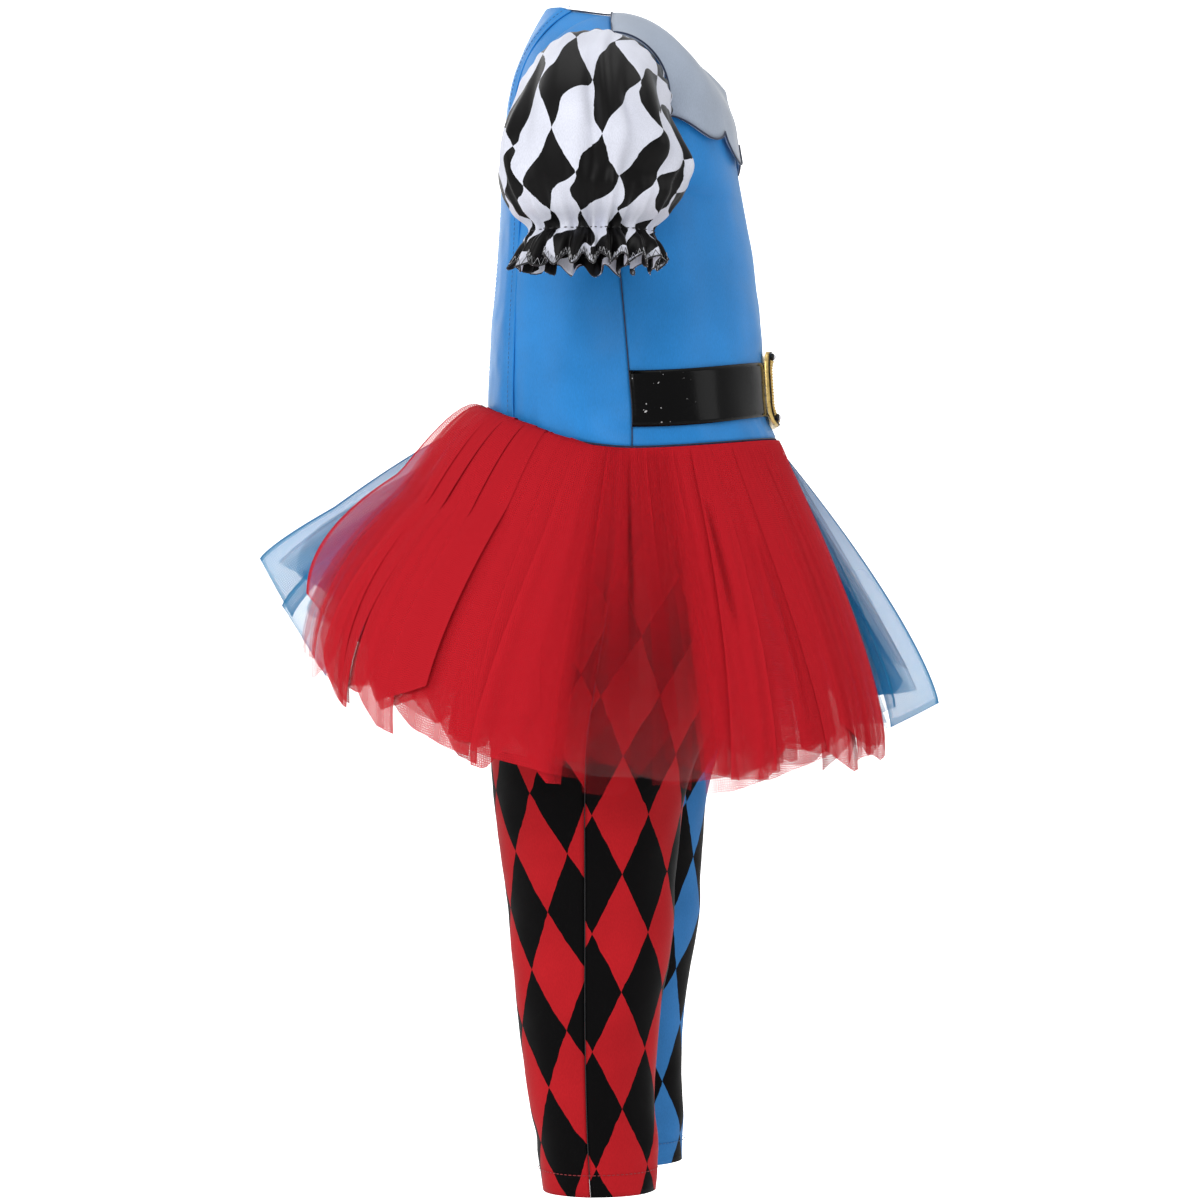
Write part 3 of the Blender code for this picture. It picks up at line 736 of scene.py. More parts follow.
def geometry_tree(name, inputs, output, nodes, links):
    """A tree from tables: its inputs, its nodes with settings and values, and which sockets are joined."""
    tree = bpy.data.node_groups.get(name)
    if tree:
        return tree
    tree = bpy.data.node_groups.new(name, "GeometryNodeTree")
    for label, kind in inputs:
        tree.interface.new_socket(name=label, in_out="INPUT", socket_type="NodeSocket" + kind)
    tree.interface.new_socket(name=output, in_out="OUTPUT", socket_type="NodeSocketGeometry")
    made = {"given": tree.nodes.new("NodeGroupInput"), "result": tree.nodes.new("NodeGroupOutput")}
    for key, kind, settings, values in nodes:
        node = made[key] = tree.nodes.new(kind)
        for setting, value in settings.items():
            setattr(node, setting, value)
        for socket, value in values.items():
            node.inputs[socket].default_value = value
    for source, out, target, into in links:
        tree.links.new(made[source].outputs[out], made[target].inputs[into])
    return tree


def thread_tree():
    """A round thread along each path."""
    return geometry_tree(
        "thread",
        (("Path", "Geometry"), ("Thickness", "Float"), ("Sides", "Int"), ("Material", "Material")),
        "Thread",
        (
            ("curve", "GeometryNodeMeshToCurve", {}, {}),
            ("half", "ShaderNodeMath", {"operation": "MULTIPLY"}, {1: 0.5}),
            ("circle", "GeometryNodeCurvePrimitiveCircle", {}, {}),
            ("sweep", "GeometryNodeCurveToMesh", {}, {"Fill Caps": True}),
            ("smooth", "GeometryNodeSetShadeSmooth", {}, {}),
            ("real", "GeometryNodeRealizeInstances", {}, {}),
            ("paint", "GeometryNodeSetMaterial", {}, {}),
        ),
        (
            ("given", "Path", "curve", "Mesh"),
            ("given", "Thickness", "half", 0),
            ("half", 0, "circle", "Radius"),
            ("given", "Sides", "circle", "Resolution"),
            ("curve", "Curve", "sweep", "Curve"),
            ("circle", "Curve", "sweep", "Profile Curve"),
            ("sweep", "Mesh", "smooth", "Geometry"),
            ("smooth", "Geometry", "real", "Geometry"),
            ("real", "Geometry", "paint", "Geometry"),
            ("given", "Material", "paint", "Material"),
            ("paint", "Geometry", "result", "Thread"),
        ),
    )


def row_tree():
    """A row of round-ended stitches or beads along each path, slightly uneven in size."""
    return geometry_tree(
        "row",
        (
            ("Path", "Geometry"),
            ("Pitch", "Float"),
            ("Length", "Float"),
            ("Thickness", "Float"),
            ("Unevenness", "Float"),
            ("Seed", "Int"),
            ("Material", "Material"),
        ),
        "Row",
        (
            ("curve", "GeometryNodeMeshToCurve", {}, {}),
            ("points", "GeometryNodeCurveToPoints", {"mode": "LENGTH"}, {}),
            ("turn", "FunctionNodeAlignRotationToVector", {"axis": "Z"}, {}),
            ("bead", "GeometryNodeMeshUVSphere", {}, {"Segments": 8, "Rings": 5, "Radius": 0.5}),
            ("shape", "ShaderNodeCombineXYZ", {}, {}),
            ("low", "ShaderNodeMath", {"operation": "SUBTRACT"}, {0: 1.0}),
            ("high", "ShaderNodeMath", {"operation": "ADD"}, {0: 1.0}),
            ("vary", "FunctionNodeRandomValue", {"data_type": "FLOAT"}, {}),
            ("scale", "ShaderNodeVectorMath", {"operation": "SCALE"}, {}),
            ("put", "GeometryNodeInstanceOnPoints", {}, {}),
            ("real", "GeometryNodeRealizeInstances", {}, {}),
            ("smooth", "GeometryNodeSetShadeSmooth", {}, {}),
            ("paint", "GeometryNodeSetMaterial", {}, {}),
        ),
        (
            ("given", "Path", "curve", "Mesh"),
            ("curve", "Curve", "points", "Curve"),
            ("given", "Pitch", "points", "Length"),
            ("points", "Tangent", "turn", "Vector"),
            ("given", "Thickness", "shape", "X"),
            ("given", "Thickness", "shape", "Y"),
            ("given", "Length", "shape", "Z"),
            ("given", "Unevenness", "low", 1),
            ("given", "Unevenness", "high", 1),
            ("low", 0, "vary", 2),
            ("high", 0, "vary", 3),
            ("given", "Seed", "vary", 8),
            ("shape", "Vector", "scale", "Vector"),
            ("vary", 1, "scale", "Scale"),
            ("points", "Points", "put", "Points"),
            ("bead", "Mesh", "put", "Instance"),
            ("turn", "Rotation", "put", "Rotation"),
            ("scale", "Vector", "put", "Scale"),
            ("put", "Instances", "real", "Geometry"),
            ("real", "Geometry", "smooth", "Geometry"),
            ("smooth", "Geometry", "paint", "Geometry"),
            ("given", "Material", "paint", "Material"),
            ("paint", "Geometry", "result", "Row"),
        ),
    )


def along_paths(name, paths, tree, material, **values):
    """A plain mesh of what the tree makes along paths; a path whose ends meet is closed."""
    points, edges = [], []
    for path in paths:
        closed = (path[0] - path[-1]).length < 1e-6
        path = path[:-1] if closed else path
        first = len(points)
        points.extend(path)
        edges.extend((first + i, first + i + 1) for i in range(len(path) - 1))
        if closed:
            edges.append((len(points) - 1, first))
    mesh = bpy.data.meshes.new(name)
    mesh.from_pydata(points, edges, [])
    guide = bpy.data.objects.new(name + "_path", mesh)
    bpy.context.scene.collection.objects.link(guide)
    grow = guide.modifiers.new("grow", "NODES")
    grow.node_group = tree
    values["material"] = material
    for item in tree.interface.items_tree:
        if item.item_type == "SOCKET" and item.in_out == "INPUT" and item.name.lower() in values:
            grow[item.identifier] = values[item.name.lower()]
    result = bpy.data.meshes.new_from_object(guide.evaluated_get(bpy.context.evaluated_depsgraph_get()))
    result.name = name
    bpy.data.objects.remove(guide, do_unlink=True)
    if not result.polygons:
        raise RuntimeError(name + " came out empty")
    return placed(name, result, material)


def loop(points):
    """A closed path: the points, and the first of them again."""
    return list(points) + [points[0].copy()]


def outward(path, middle, lift):
    """The path moved away from a middle line by a small lift."""
    return [point + (point - middle).normalized() * lift for point in path]


def bump_sum(point, *layers):
    """Uneven creases: each layer gives its height, its size and its seed."""
    return sum(depth * unevenness(point, size, seed) for depth, size, seed in layers)


def edge_fade(share, strip):
    """0 at both ends of a span and 1 away from them."""
    return ease(min(share, 1 - share) / strip)


def make_bodice(blue):
    """Front and backs, pulled softly towards the waist seam, the armholes and the side seams."""
    half = steps(0, 1, BODICE_COLUMNS)
    rises = steps(0, 1, BODICE_ROWS)[:-1] + steps(1, 2, BODICE_ROWS // 2)

    def creases(row, column, point):
        seams = edge_fade(row, 0.08) * edge_fade(column, 0.04)
        pucker = math.sin(point.x / PUCKER_PITCH + 9 * unevenness(point, 0.03, 4)) * max(0.0, 1 - row / 0.16)
        pull = unevenness((point.x * 0.35, point.y * 0.35, point.z), 0.012, 7)
        pull *= max(0.0, 1 - abs(row - 0.25) / 0.3)
        soft = bump_sum(point, *BODICE_CREASES)
        return seams * (soft + PULL_DEPTH * pull) + PUCKER_DEPTH * pucker * ease(row / 0.015)

    pieces = []
    whole = [-across for across in reversed(half[1:])] + half
    front = [[mirrored_bodice(across, rise, True) for across in whole] for rise in rises]
    front = raised(front, creases)
    pieces.append(cloth("bodice_front_cloth", front, measured(front, 0), blue, wall=CLOTH_WALL))
    for name, side in (("right", -1), ("left", 1)):
        back = [[mirrored_bodice(across * side, rise, False) for across in half] for rise in rises]
        for row in back:
            row[0].x = side * SEAM_GAP / 2
        back = raised(back, creases)
        pieces.append(cloth("bodice_back_" + name + "_cloth", back, measured(back, 0), blue, wall=CLOTH_WALL))
    columns = [index * PLACKET_STEP for index in range(-PLACKET_RIGHT_STEPS, PLACKET_LEFT_STEPS + 1)]
    columns = [mix(low, high, share / 6) for low, high in zip(columns, columns[1:]) for share in range(6)]
    columns.append(PLACKET_LEFT_STEPS * PLACKET_STEP)
    heights = [rise for rise in rises if rise > 0.02][:-1] + [2 - SURFACE_STEP]
    last = len(columns) - 1
    high = COLLAR_LIFT + SATIN_WALL
    lifts = [mix(PLACKET_EDGE_LIFT, high, edge_fade(index / last, 0.2)) for index in range(last + 1)]
    strip = [
        [lifted(back_surface, across, rise, lift) for across, lift in zip(columns, lifts)]
        for rise in heights
    ]
    strip = raised(
        strip,
        lambda row, column, point: PLACKET_CREASE * edge_fade(column, 0.15) * unevenness(point, 0.012, 3),
    )
    pieces.append(cloth("placket_cloth", strip, measured(strip, 0), blue, wall=CLOTH_WALL))
    for piece, node in zip(pieces, ("bodice_front", "bodice_back_right", "bodice_back_left", "back_placket")):
        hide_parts(node)


def collar_grid(rows, lift):
    """The collar from its scalloped edge up to the neckline and shoulder seams, lifting off at its edge."""
    grid = [[] for _ in range(rows + 1)]
    for index in range(-COLLAR_COLUMNS, COLLAR_COLUMNS + 1):
        across = index / COLLAR_COLUMNS * COLLAR_REACH
        low = rise_at_height(abs(across), collar_edge(bodice_point(abs(across), 1.0, True).x))
        for row in range(rows + 1):
            rise = mix(low, 2.0, (row / rows) ** 1.2)
            away = lift + COLLAR_ROLL * math.exp(-row / rows * 5)
            grid[row].append(lifted(front_surface, across, rise, away))
    return grid


def make_collar(white):
    """The scalloped collar: two layers of satin, its edge a little rolled."""
    grid = collar_grid(COLLAR_ROWS, COLLAR_LIFT + SATIN_WALL)
    grid = raised(grid, lambda row, column, point: edge_fade(column, 0.06) * bump_sum(point, *COLLAR_CREASES))
    piece = cloth("collar_cloth", grid, measured(grid, 0), white, wall=COLLAR_WALL)
    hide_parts("collar")


def sleeve_wave(row, turn, seed):
    """How far the cloth stands out of the ring: gathers at the head and elastic, soft folds over the puff."""
    wander = 0.35 * math.sin(turn * 2 + seed) + 0.25 * math.sin(turn * 5 + 2 * seed)
    head = 0.0011 * math.exp(-((row / 1.6) ** 2)) * math.cos(turn * 31 + 5 * wander)
    puff = math.exp(-(((row - 4.6) / 2.2) ** 2)) * (
        0.0019 * math.cos(turn * 9 + 4 * wander + 0.5 * row) + 0.0009 * math.cos(turn * 17 + 7 * wander - row)
    )
    slim = -0.0045 * math.exp(-(((row - 3.2) / 1.1) ** 2)) * max(math.sin(turn), 0.0)
    cuff = math.exp(-(((row - 8.0) / 1.3) ** 2)) * (
        0.0016 * math.cos(turn * 23 + 6 * wander) + 0.0006 * math.cos(turn * 47 + 3 * wander)
    )
    tight = -0.0040 * math.exp(-(((row - ELASTIC_ROW) / 0.55) ** 2))
    ruffle = ease((row - ELASTIC_ROW) / 1.6) * (
        0.0032 * math.cos(turn * 21 + 5 * wander) + 0.0012 * math.cos(turn * 38 + 9 * wander) - 0.0034
    )
    return head + puff + slim + cuff + tight + ruffle


def sleeve_crease(row, turn):
    """The soft dent over the front of the puff, and the pinch beside it."""
    turn = (turn + math.pi) % math.tau - math.pi
    dent = -0.0052 * math.exp(-(((row - 5.8) / 0.45) ** 2) - ((turn + 0.6) / 0.55) ** 2)
    pinch = -0.0046 * math.exp(-(((row - 4.8) / 0.8) ** 2) - ((turn + 1.0) / 0.12) ** 2)
    lip = 0.0026 * math.exp(-(((row - 5.1) / 0.4) ** 2) - ((turn + 0.55) / 0.6) ** 2)
    return dent + pinch + lip


def sleeve_rows():
    """Where along the sleeve the rings lie, evenly spaced."""
    last = len(SLEEVE)
    return [last * index / SLEEVE_RINGS for index in range(SLEEVE_RINGS + 1)]


def sleeve_grid(side, seed):
    """Rings from the armhole seam to the ruffle's edge; the table's first ring is row 1."""
    head = [point + Vector((2 * SEAM_GAP, 0, 0)) for point in armhole_ring(SLEEVE_COLUMNS)]
    foot = sleeve_point(between(SLEEVE, ELASTIC_ROW - 1), 0.0)[0].z
    grid = []
    for place in sleeve_rows():
        line = []
        row = between(SLEEVE, place - 1)
        for index in range(SLEEVE_COLUMNS):
            turn = math.tau * index / SLEEVE_COLUMNS
            point, out = sleeve_point(row, turn)
            if place < 1:
                point = head[index].lerp(point, place)
            wave = sleeve_wave(place, turn, seed) + sleeve_crease(place, turn)
            point.y += SLEEVE_BACK * ease(place / 2)
            if place > ELASTIC_ROW:
                point.z = mix(foot, point.z, RUFFLE_SHORT)
                curl = ease((place - ELASTIC_ROW) / 1.6) * math.sin(turn * 21 + 1.2 * math.sin(3 * turn))
                point.z += RUFFLE_CURL * curl
            point += out * wave * ease(place / 0.5)
            line.append(Vector((side * point.x, point.y, point.z)))
        grid.append(line)
    return grid


def diamond_measure(place, turn, side):
    """The sleeve's print: turns in diamonds across, rows along, both pulled about by the gathers."""
    along = 0.0
    for (low, start), (high, end) in zip(SLEEVE_PRINT, SLEEVE_PRINT[1:]):
        if place - 1 <= high or high == SLEEVE_PRINT[-1][0]:
            along = mix(start, end, (place - 1 - low) / (high - low))
            break
    across = turn / math.tau * SLEEVE_DIAMONDS - SLEEVE_PRINT_LEAN * along
    sway = math.sin(2.5 * place + 2.0 * math.sin(turn * 3 + side))
    warp = 0.11 * sway + 0.05 * math.sin(5.2 * place + turn * 7)
    return across + warp, along + 0.05 * math.sin(turn * 5 + side) + 0.03 * math.sin(turn * 13)


def sleeve_middle(side):
    """A point inside a sleeve."""
    return Vector((side * SLEEVE_MIDDLE.x, SLEEVE_MIDDLE.y, SLEEVE_MIDDLE.z))


def make_sleeves(satin):
    """Puff sleeves in black and white diamonds, with an elastic cuff and a ruffle."""
    for name, side, seed in SLEEVES:
        grid = sleeve_grid(side, seed)
        columns = range(SLEEVE_COLUMNS + 1)
        measure = [
            [diamond_measure(place, math.tau * index / SLEEVE_COLUMNS, side) for index in columns]
            for place in sleeve_rows()
        ]
        piece = cloth("sleeve_" + name + "_cloth", grid, measure, satin, middle=sleeve_middle(side),
                      wall=CLOTH_WALL, ring=True)
        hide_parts("sleeve_" + name)


def leg_grid(side, front):
    """A legging panel from the waist seam to the hem."""
    grid = []
    top, low = LEG[0].height, LEG[-1].height
    for index in range(LEG_ROWS + 1):
        height = mix(top, low, index / LEG_ROWS)
        row = read(LEG, height)
        stride = ease((height - STRIDE_START) / (STRIDE_END - STRIDE_START))
        forward = LEFT_LEG_FORWARD * stride if side > 0 else 0.0
        line = []
        for share in steps(0, 1, LEG_COLUMNS):
            point = leg_point(row, share, front, height, forward)
            join = ease((height - LEG[1].height) / (top - LEG[1].height))
            if join > 0:
                point = point.lerp(leggings_waist(share, front), join)
            line.append(Vector((side * point.x, point.y, point.z)))
        grid.append(line)
    return grid


def leg_core(side, height):
    """The middle of a leg at a height."""
    row = read(LEG, height)
    return Vector((side * (row.outer_x + row.inner_x) / 2, row.seam_y, height))


def make_leggings(knits):
    """Diamond leggings: a front and a back panel each side, joined at the outseam and inseam."""
    for side_name, side in (("right", -1), ("left", 1)):
        for face_name, front in (("front", True), ("back", False)):
            base = leg_grid(side, front)

            def creases(row, column, point):
                seam = edge_fade(column, 0.05) * ease(row / 0.06)
                ring = unevenness((point.x * 0.5, point.y * 0.5, point.z + point.y * 0.3), 0.011, 11 + side)
                ankle = math.exp(-(((point.z + 0.575) / 0.03) ** 2))
                knee = math.exp(-(((point.z + 0.40) / 0.05) ** 2))
                return seam * (bump_sum(point, *LEG_CREASES) + LEG_WRINKLE * (ankle + 0.5 * knee) * ring)

            core = leg_core(side, LEG_MIDDLE)
            grid = raised(base, creases, middle=core)
            name = "leg_" + side_name + "_" + face_name
            piece = cloth(name + "_cloth", grid, leg_measure(base, side, front), knits[side], middle=core,
                          wall=CLOTH_WALL)
            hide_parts(name)


def leg_measure(grid, side, front):
    """Where the print's diamonds fall: across from the outseam, in diamonds, and down, in diamonds."""
    arcs = measured(grid, 0)
    table = []
    for line, row in zip(arcs, grid):
        height = row[0].z
        entry = []
        for across, _along in line:
            across = abs(across)
            if front:
                down = PRINT_FRONT_LEVEL - height
                if side < 0:
                    place = across + PRINT_RIGHT_START
                else:
                    place = across + PRINT_LEFT_START + PRINT_LEFT_LEAN * (PRINT_LEFT_LEVEL - height)
            else:
                down = PRINT_BACK_LEVEL - height
                place, down = across + PRINT_BACK_START + PRINT_BACK_LEAN * down, down + PRINT_BACK_DROP
            entry.append((place / (PRINT_WIDTH if front else PRINT_BACK_WIDTH), down / PRINT_HEIGHT))
        table.append(entry)
    return table


def belt_point(angle, up, lift):
    """A point on the belt, up from its middle line and out from its back."""
    return lifted(waist_front, angle, belt_centre(angle) + up, BELT_LIFT + VINYL_WALL + lift)


def make_belt(vinyl):
    """The glossy strip, softly crowned across its width, with rounded edges and slight waves."""
    grid = []
    for index in range(BELT_ROWS + 1):
        share = index / BELT_ROWS * 2 - 1
        crown = 0.0006 * (1 - abs(share) ** 5) - 0.0003
        line = []
        for angle in steps(-math.pi / 2, math.pi / 2, BELT_STEPS):
            wave = 0.0006 * math.cos(angle) ** 2 * unevenness((angle * 0.08, share * 0.01, 0), 0.02, 12)
            line.append(belt_point(angle, share * BELT_HEIGHT / 2, crown + wave))
        grid.append(line)
    piece = cloth("belt_strip", grid, measured(grid, 0), vinyl, wall=VINYL_WALL)
    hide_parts("belt")


def buckle_point(out, up, lift):
    """A point on the buckle, out and up from its centre and out from its back."""
    height = BELT_FRONT_CENTRE + up
    angle = math.asin(out / read(TORSO, height).half_width)
    base = BELT_LIFT + 2 * SEAM_GAP + VINYL_WALL
    return lifted(waist_front, angle, height, base + lift)


def buckle_path(inset, lift):
    """A closed path round the buckle's frame at an inset from its outer edge."""
    return loop([buckle_point(out, up, lift) for out, up in buckle_outline(inset)])


def make_buckle(gold, dark, pearl):
    """The frame with a raised rim, two rows of small beads and a round stud at each corner."""
    rings = []
    for inset, lift in BUCKLE_SECTION:
        rings.append([buckle_point(out, up, lift) for out, up in buckle_outline(inset)])
    rings.append([point.copy() for point in rings[0]])
    measure = measured(rings, 0, ring=True)
    frame_piece = cloth("buckle_frame", rings, measure, gold, middle=buckle_point(0, 0, -0.03), ring=True)
    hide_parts("buckle")
    rows = [loop(respaced(buckle_path(inset, BUCKLE_THICKNESS + BUCKLE_CROWN), 360)) for inset in BEAD_INSETS]
    beads = along_paths("buckle_beads", rows, row_tree(), gold, pitch=sizes().bead_pitch,
                        length=sizes().bead_pitch * 0.92, thickness=sizes().bead_pitch * 0.95,
                        unevenness=0.06, seed=3)
    lines = [buckle_path(inset, BUCKLE_THICKNESS + 0.0002) for inset in (0.0004, BUCKLE_BAR - 0.0004)]
    along_paths("buckle_rim", lines, thread_tree(), dark, thickness=0.0007, sides=8)
    stud_parts = []
    for side in (-1, 1):
        for level in (-1, 1):
            centre = buckle_point(side * STUD_OUT, level * STUD_UP, BUCKLE_THICKNESS + 0.0010)
            stud_parts.append([centre - Vector((0, 0.0003, 0)), centre + Vector((0, 0.0003, 0))])
    along_paths("buckle_stud_cups", stud_parts, row_tree(), dark, pitch=0.01, length=0.0030, thickness=0.0042,
                unevenness=0.0, seed=1)
    stud_parts = [[point - Vector((0, 0.0008, 0)) for point in part] for part in stud_parts]
    along_paths("buckle_studs", stud_parts, row_tree(), pearl, pitch=0.01, length=0.0026, thickness=0.0031,
                unevenness=0.0, seed=1)


class Strip:
    """One strip of net: its place at the waist, its spread and swing to the hem, its fold and its cut end."""

    def __init__(self, rng, centre, half, style):
        self.centre, self.half = centre, half
        self.spread = rng.uniform(*style.spread)
        self.swing = rng.uniform(-1, 1) * half * 0.9
        self.arch = rng.choice((-1, 1, 1)) * rng.uniform(0.4, 1.0) * style.arch
        self.ripple = rng.uniform(0.3, 1.0) * style.arch * 0.5
        self.at = rng.uniform(0, math.tau)
        self.out = rng.uniform(-1, 0.6) * style.arch
        self.length = rng.uniform(*style.length)
        self.slant = rng.uniform(-1, 1) * style.slant
        self.peak = rng.uniform(-0.8, 0.8)
        self.point = rng.choice((0.0, 1.0, 1.0)) * rng.uniform(0.3, 1.0) * style.slant
        self.dense = rng.uniform(*style.dense)

    def share(self, t, run):
        half = self.half * (1 + (self.spread - 1) * run**0.8)
        return self.centre + self.swing * run**1.4 + half * t

    def loose(self, t, run):
        fold = self.arch * (1 - t * t) + self.ripple * math.cos(5 * t + self.at) + self.out
        return fold * run**0.8 + 0.0005 * math.cos(17 * t + self.at) * math.exp(-run * 6)

    def hem(self, t, drop):
        short = self.point * abs(t - self.peak) + self.slant * t
        short = short * mix(1.0, 0.45, ease((self.centre - 0.5) / 0.1))
        return min(self.length - short / drop, 1.0 + 0.008 / drop)

    def cover(self, t, run):
        edge = 0.30 * math.exp(-((1 - abs(t)) / 0.07))
        return self.dense * (1 + 0.35 * math.exp(-run * 4) + edge + 0.12 * math.cos(9 * t + self.at))


def net_strips(name, layer, seed, style, net, cover_at, vanes=()):
    """A gathered row of strips that overlap, fanning out from the waist seam to uneven cut ends."""
    rng = random.Random(seed)
    side = layer.sides[0]
    patches, place = [], style.start
    while place < 1.0 - style.start:
        half = rng.uniform(*style.width) / 2
        strip = Strip(rng, min(place + half, 1 - half * 0.6), half * 1.25, style)
        place += 2 * half
        grid, cover = [], []
        for index in range(NET_ROWS + 1):
            run = (index / NET_ROWS) ** NET_ROW_GROWTH
            line, dense = [], []
            for column in range(STRIP_COLUMNS + 1):
                t = column / STRIP_COLUMNS * 2 - 1
                share = min(max(strip.share(t, run), 0.0), 1.0)
                drop = around(math.pi * share, layer.back_drop, layer.side_drop, layer.front_drop)
                tame = mix(style.tame, 1.0, math.sin(math.pi * share) ** 0.7)
                loose = (strip.loose(t, run) * tame + style.push * ease(run / 0.1)) * ease(run / 0.04)
                point, _away = skirt_point(layer, side, share, run, loose, strip.hem(t, drop))
                line.append(Vector((point.x + SKIRT_HALF_GAP * side, point.y, point.z)))
                dense.append(strip.cover(t, run) * cover_at(share, run))
            grid.append(line)
            cover.append(dense)
        patches.append((grid, measured(grid, STRIP_COLUMNS // 2), cover))
    patches.extend(vane_patch(vane, rng) for vane in vanes)
    piece = patched(name, patches, net, middle=Vector((0, 0, WAIST_SIDE)))
    return piece


def vane_patch(vane, rng):
    """A strip that stands out edgeways at the centre back or front, so that its face shows from the side."""
    side = vane.layer.sides[0]
    low, high = (
        vane.layer._replace(back_reach=reach, back_drop=drop, front_reach=reach, front_drop=drop)
        for reach, drop in ((vane.low_reach, vane.low_drop), (vane.high_reach, vane.high_drop))
    )
    at = rng.uniform(0, math.tau)
    grid, cover = [], []
    for index in range(NET_ROWS + 1):
        run = (index / NET_ROWS) ** NET_ROW_GROWTH
        top, _away = skirt_point(high, side, vane.share, run, hump_end=vane.hump_end)
        foot, _away = skirt_point(low, side, vane.share + vane.lean, run, hump_end=vane.hump_end)
        line, dense = [], []
        for t in VANE_STEPS:
            sway = 0.0016 * run * math.sin(4 * t + 3 * run + at) + 0.003 * run * t
            line.append(top.lerp(foot, t) + Vector((side * (SKIRT_HALF_GAP + sway), 0, 0)))
            edge = 0.5 * math.exp(-min(t, 1 - t) / 0.03) + 0.4 * math.exp(-(1 - run) / 0.01)
            fold = vane.fold * (1 - ease((t - VANE_STEPS[1]) / VANE_STEPS[1]))
            dense.append(vane.cover * (1 + edge + 0.8 * math.exp(-run * 5)) + fold)
        grid.append(line)
        cover.append(dense)
    return grid, measured(grid, 0), cover


def make_petticoat(name, layer, net):
    """The pale underskirt: one long gathered sheet with a plain hem, in soft uneven waves."""
    rng = random.Random(31)
    waves = [(rate, size, rng.uniform(0, math.tau)) for rate, size in ((7, 1.0), (12, 0.6), (19, 0.4))]
    grid, cover = [], []
    shares = steps(0, 1, NET_COLUMNS)
    for index in range(NET_ROWS + 1):
        run = index / NET_ROWS
        line, dense = [], []
        for side in (-1, 1):
            for share in shares if side < 0 else shares[-2:0:-1]:
                around_share = share if side < 0 else 2 - share
                phase = math.pi * around_share
                wave = sum(size * math.cos(rate * phase + at) for rate, size, at in waves)
                fine = 0.0006 * math.cos(110 * phase) * math.exp(-run * 6)
                loose = (layer.fold_depth * 0.8 * wave * run**0.8 + fine) * ease(run / 0.05)
                hem = 1.0 + 0.010 * math.sin(3 * phase + 1) - 0.012 * (0.5 + 0.5 * math.sin(17 * phase))
                point, _away = skirt_point(layer, side, share, run, loose, hem)
                line.append(point)
                side_thin = 1 - 0.88 * math.sin(math.pi * share) ** 2 * (side < 0)
                crowd = 1 + 0.5 * math.exp(-run * 4) + 0.15 * wave + 0.5 * math.exp(-((1 - run) / 0.015))
                dense.append(crowd * side_thin)
        grid.append(line)
        cover.append(dense)
    piece = cloth(name, grid, measured(grid, 0, ring=True), net, middle=Vector((0, 0, WAIST_SIDE)), ring=True,
                  cover=cover)
    return piece


def red_cover(share, run):
    """Dense over the back, thin where the leg shows through at the side, fuller again towards the front."""
    back = ease((RED_BACK_END - share) / 0.05)
    front = RED_FRONT_COVER * ease((share - RED_FRONT_START) / 0.045)
    leg = mix(*RED_LEG_COVER, ease(run / 0.75))
    edge = 0.80 * math.exp(-((share / 0.13) ** 2)) + 0.5 * math.exp(-(((1 - share) / 0.08) ** 2))
    slit = 0.0
    for centre, half, first, last in RED_SLITS:
        middle = math.sin(math.pi * max(min((run - first) / (last - first), 1), 0))
        slit += math.sqrt(middle) * math.exp(-(((share - centre - 0.01 * run) / half) ** 2))
    return mix(leg, 1.0, max(back, front)) * (1 - ease(run / 0.3) * edge) * (1 - 0.9 * min(slit, 1))


def blue_cover(share, _run):
    """Thin where the strips stand out past the red half at the centre back and front."""
    edge = min(share, 1 - share)
    return mix(BLUE_EDGE_COVER, 1.0, ease((edge - 0.05) / 0.12))


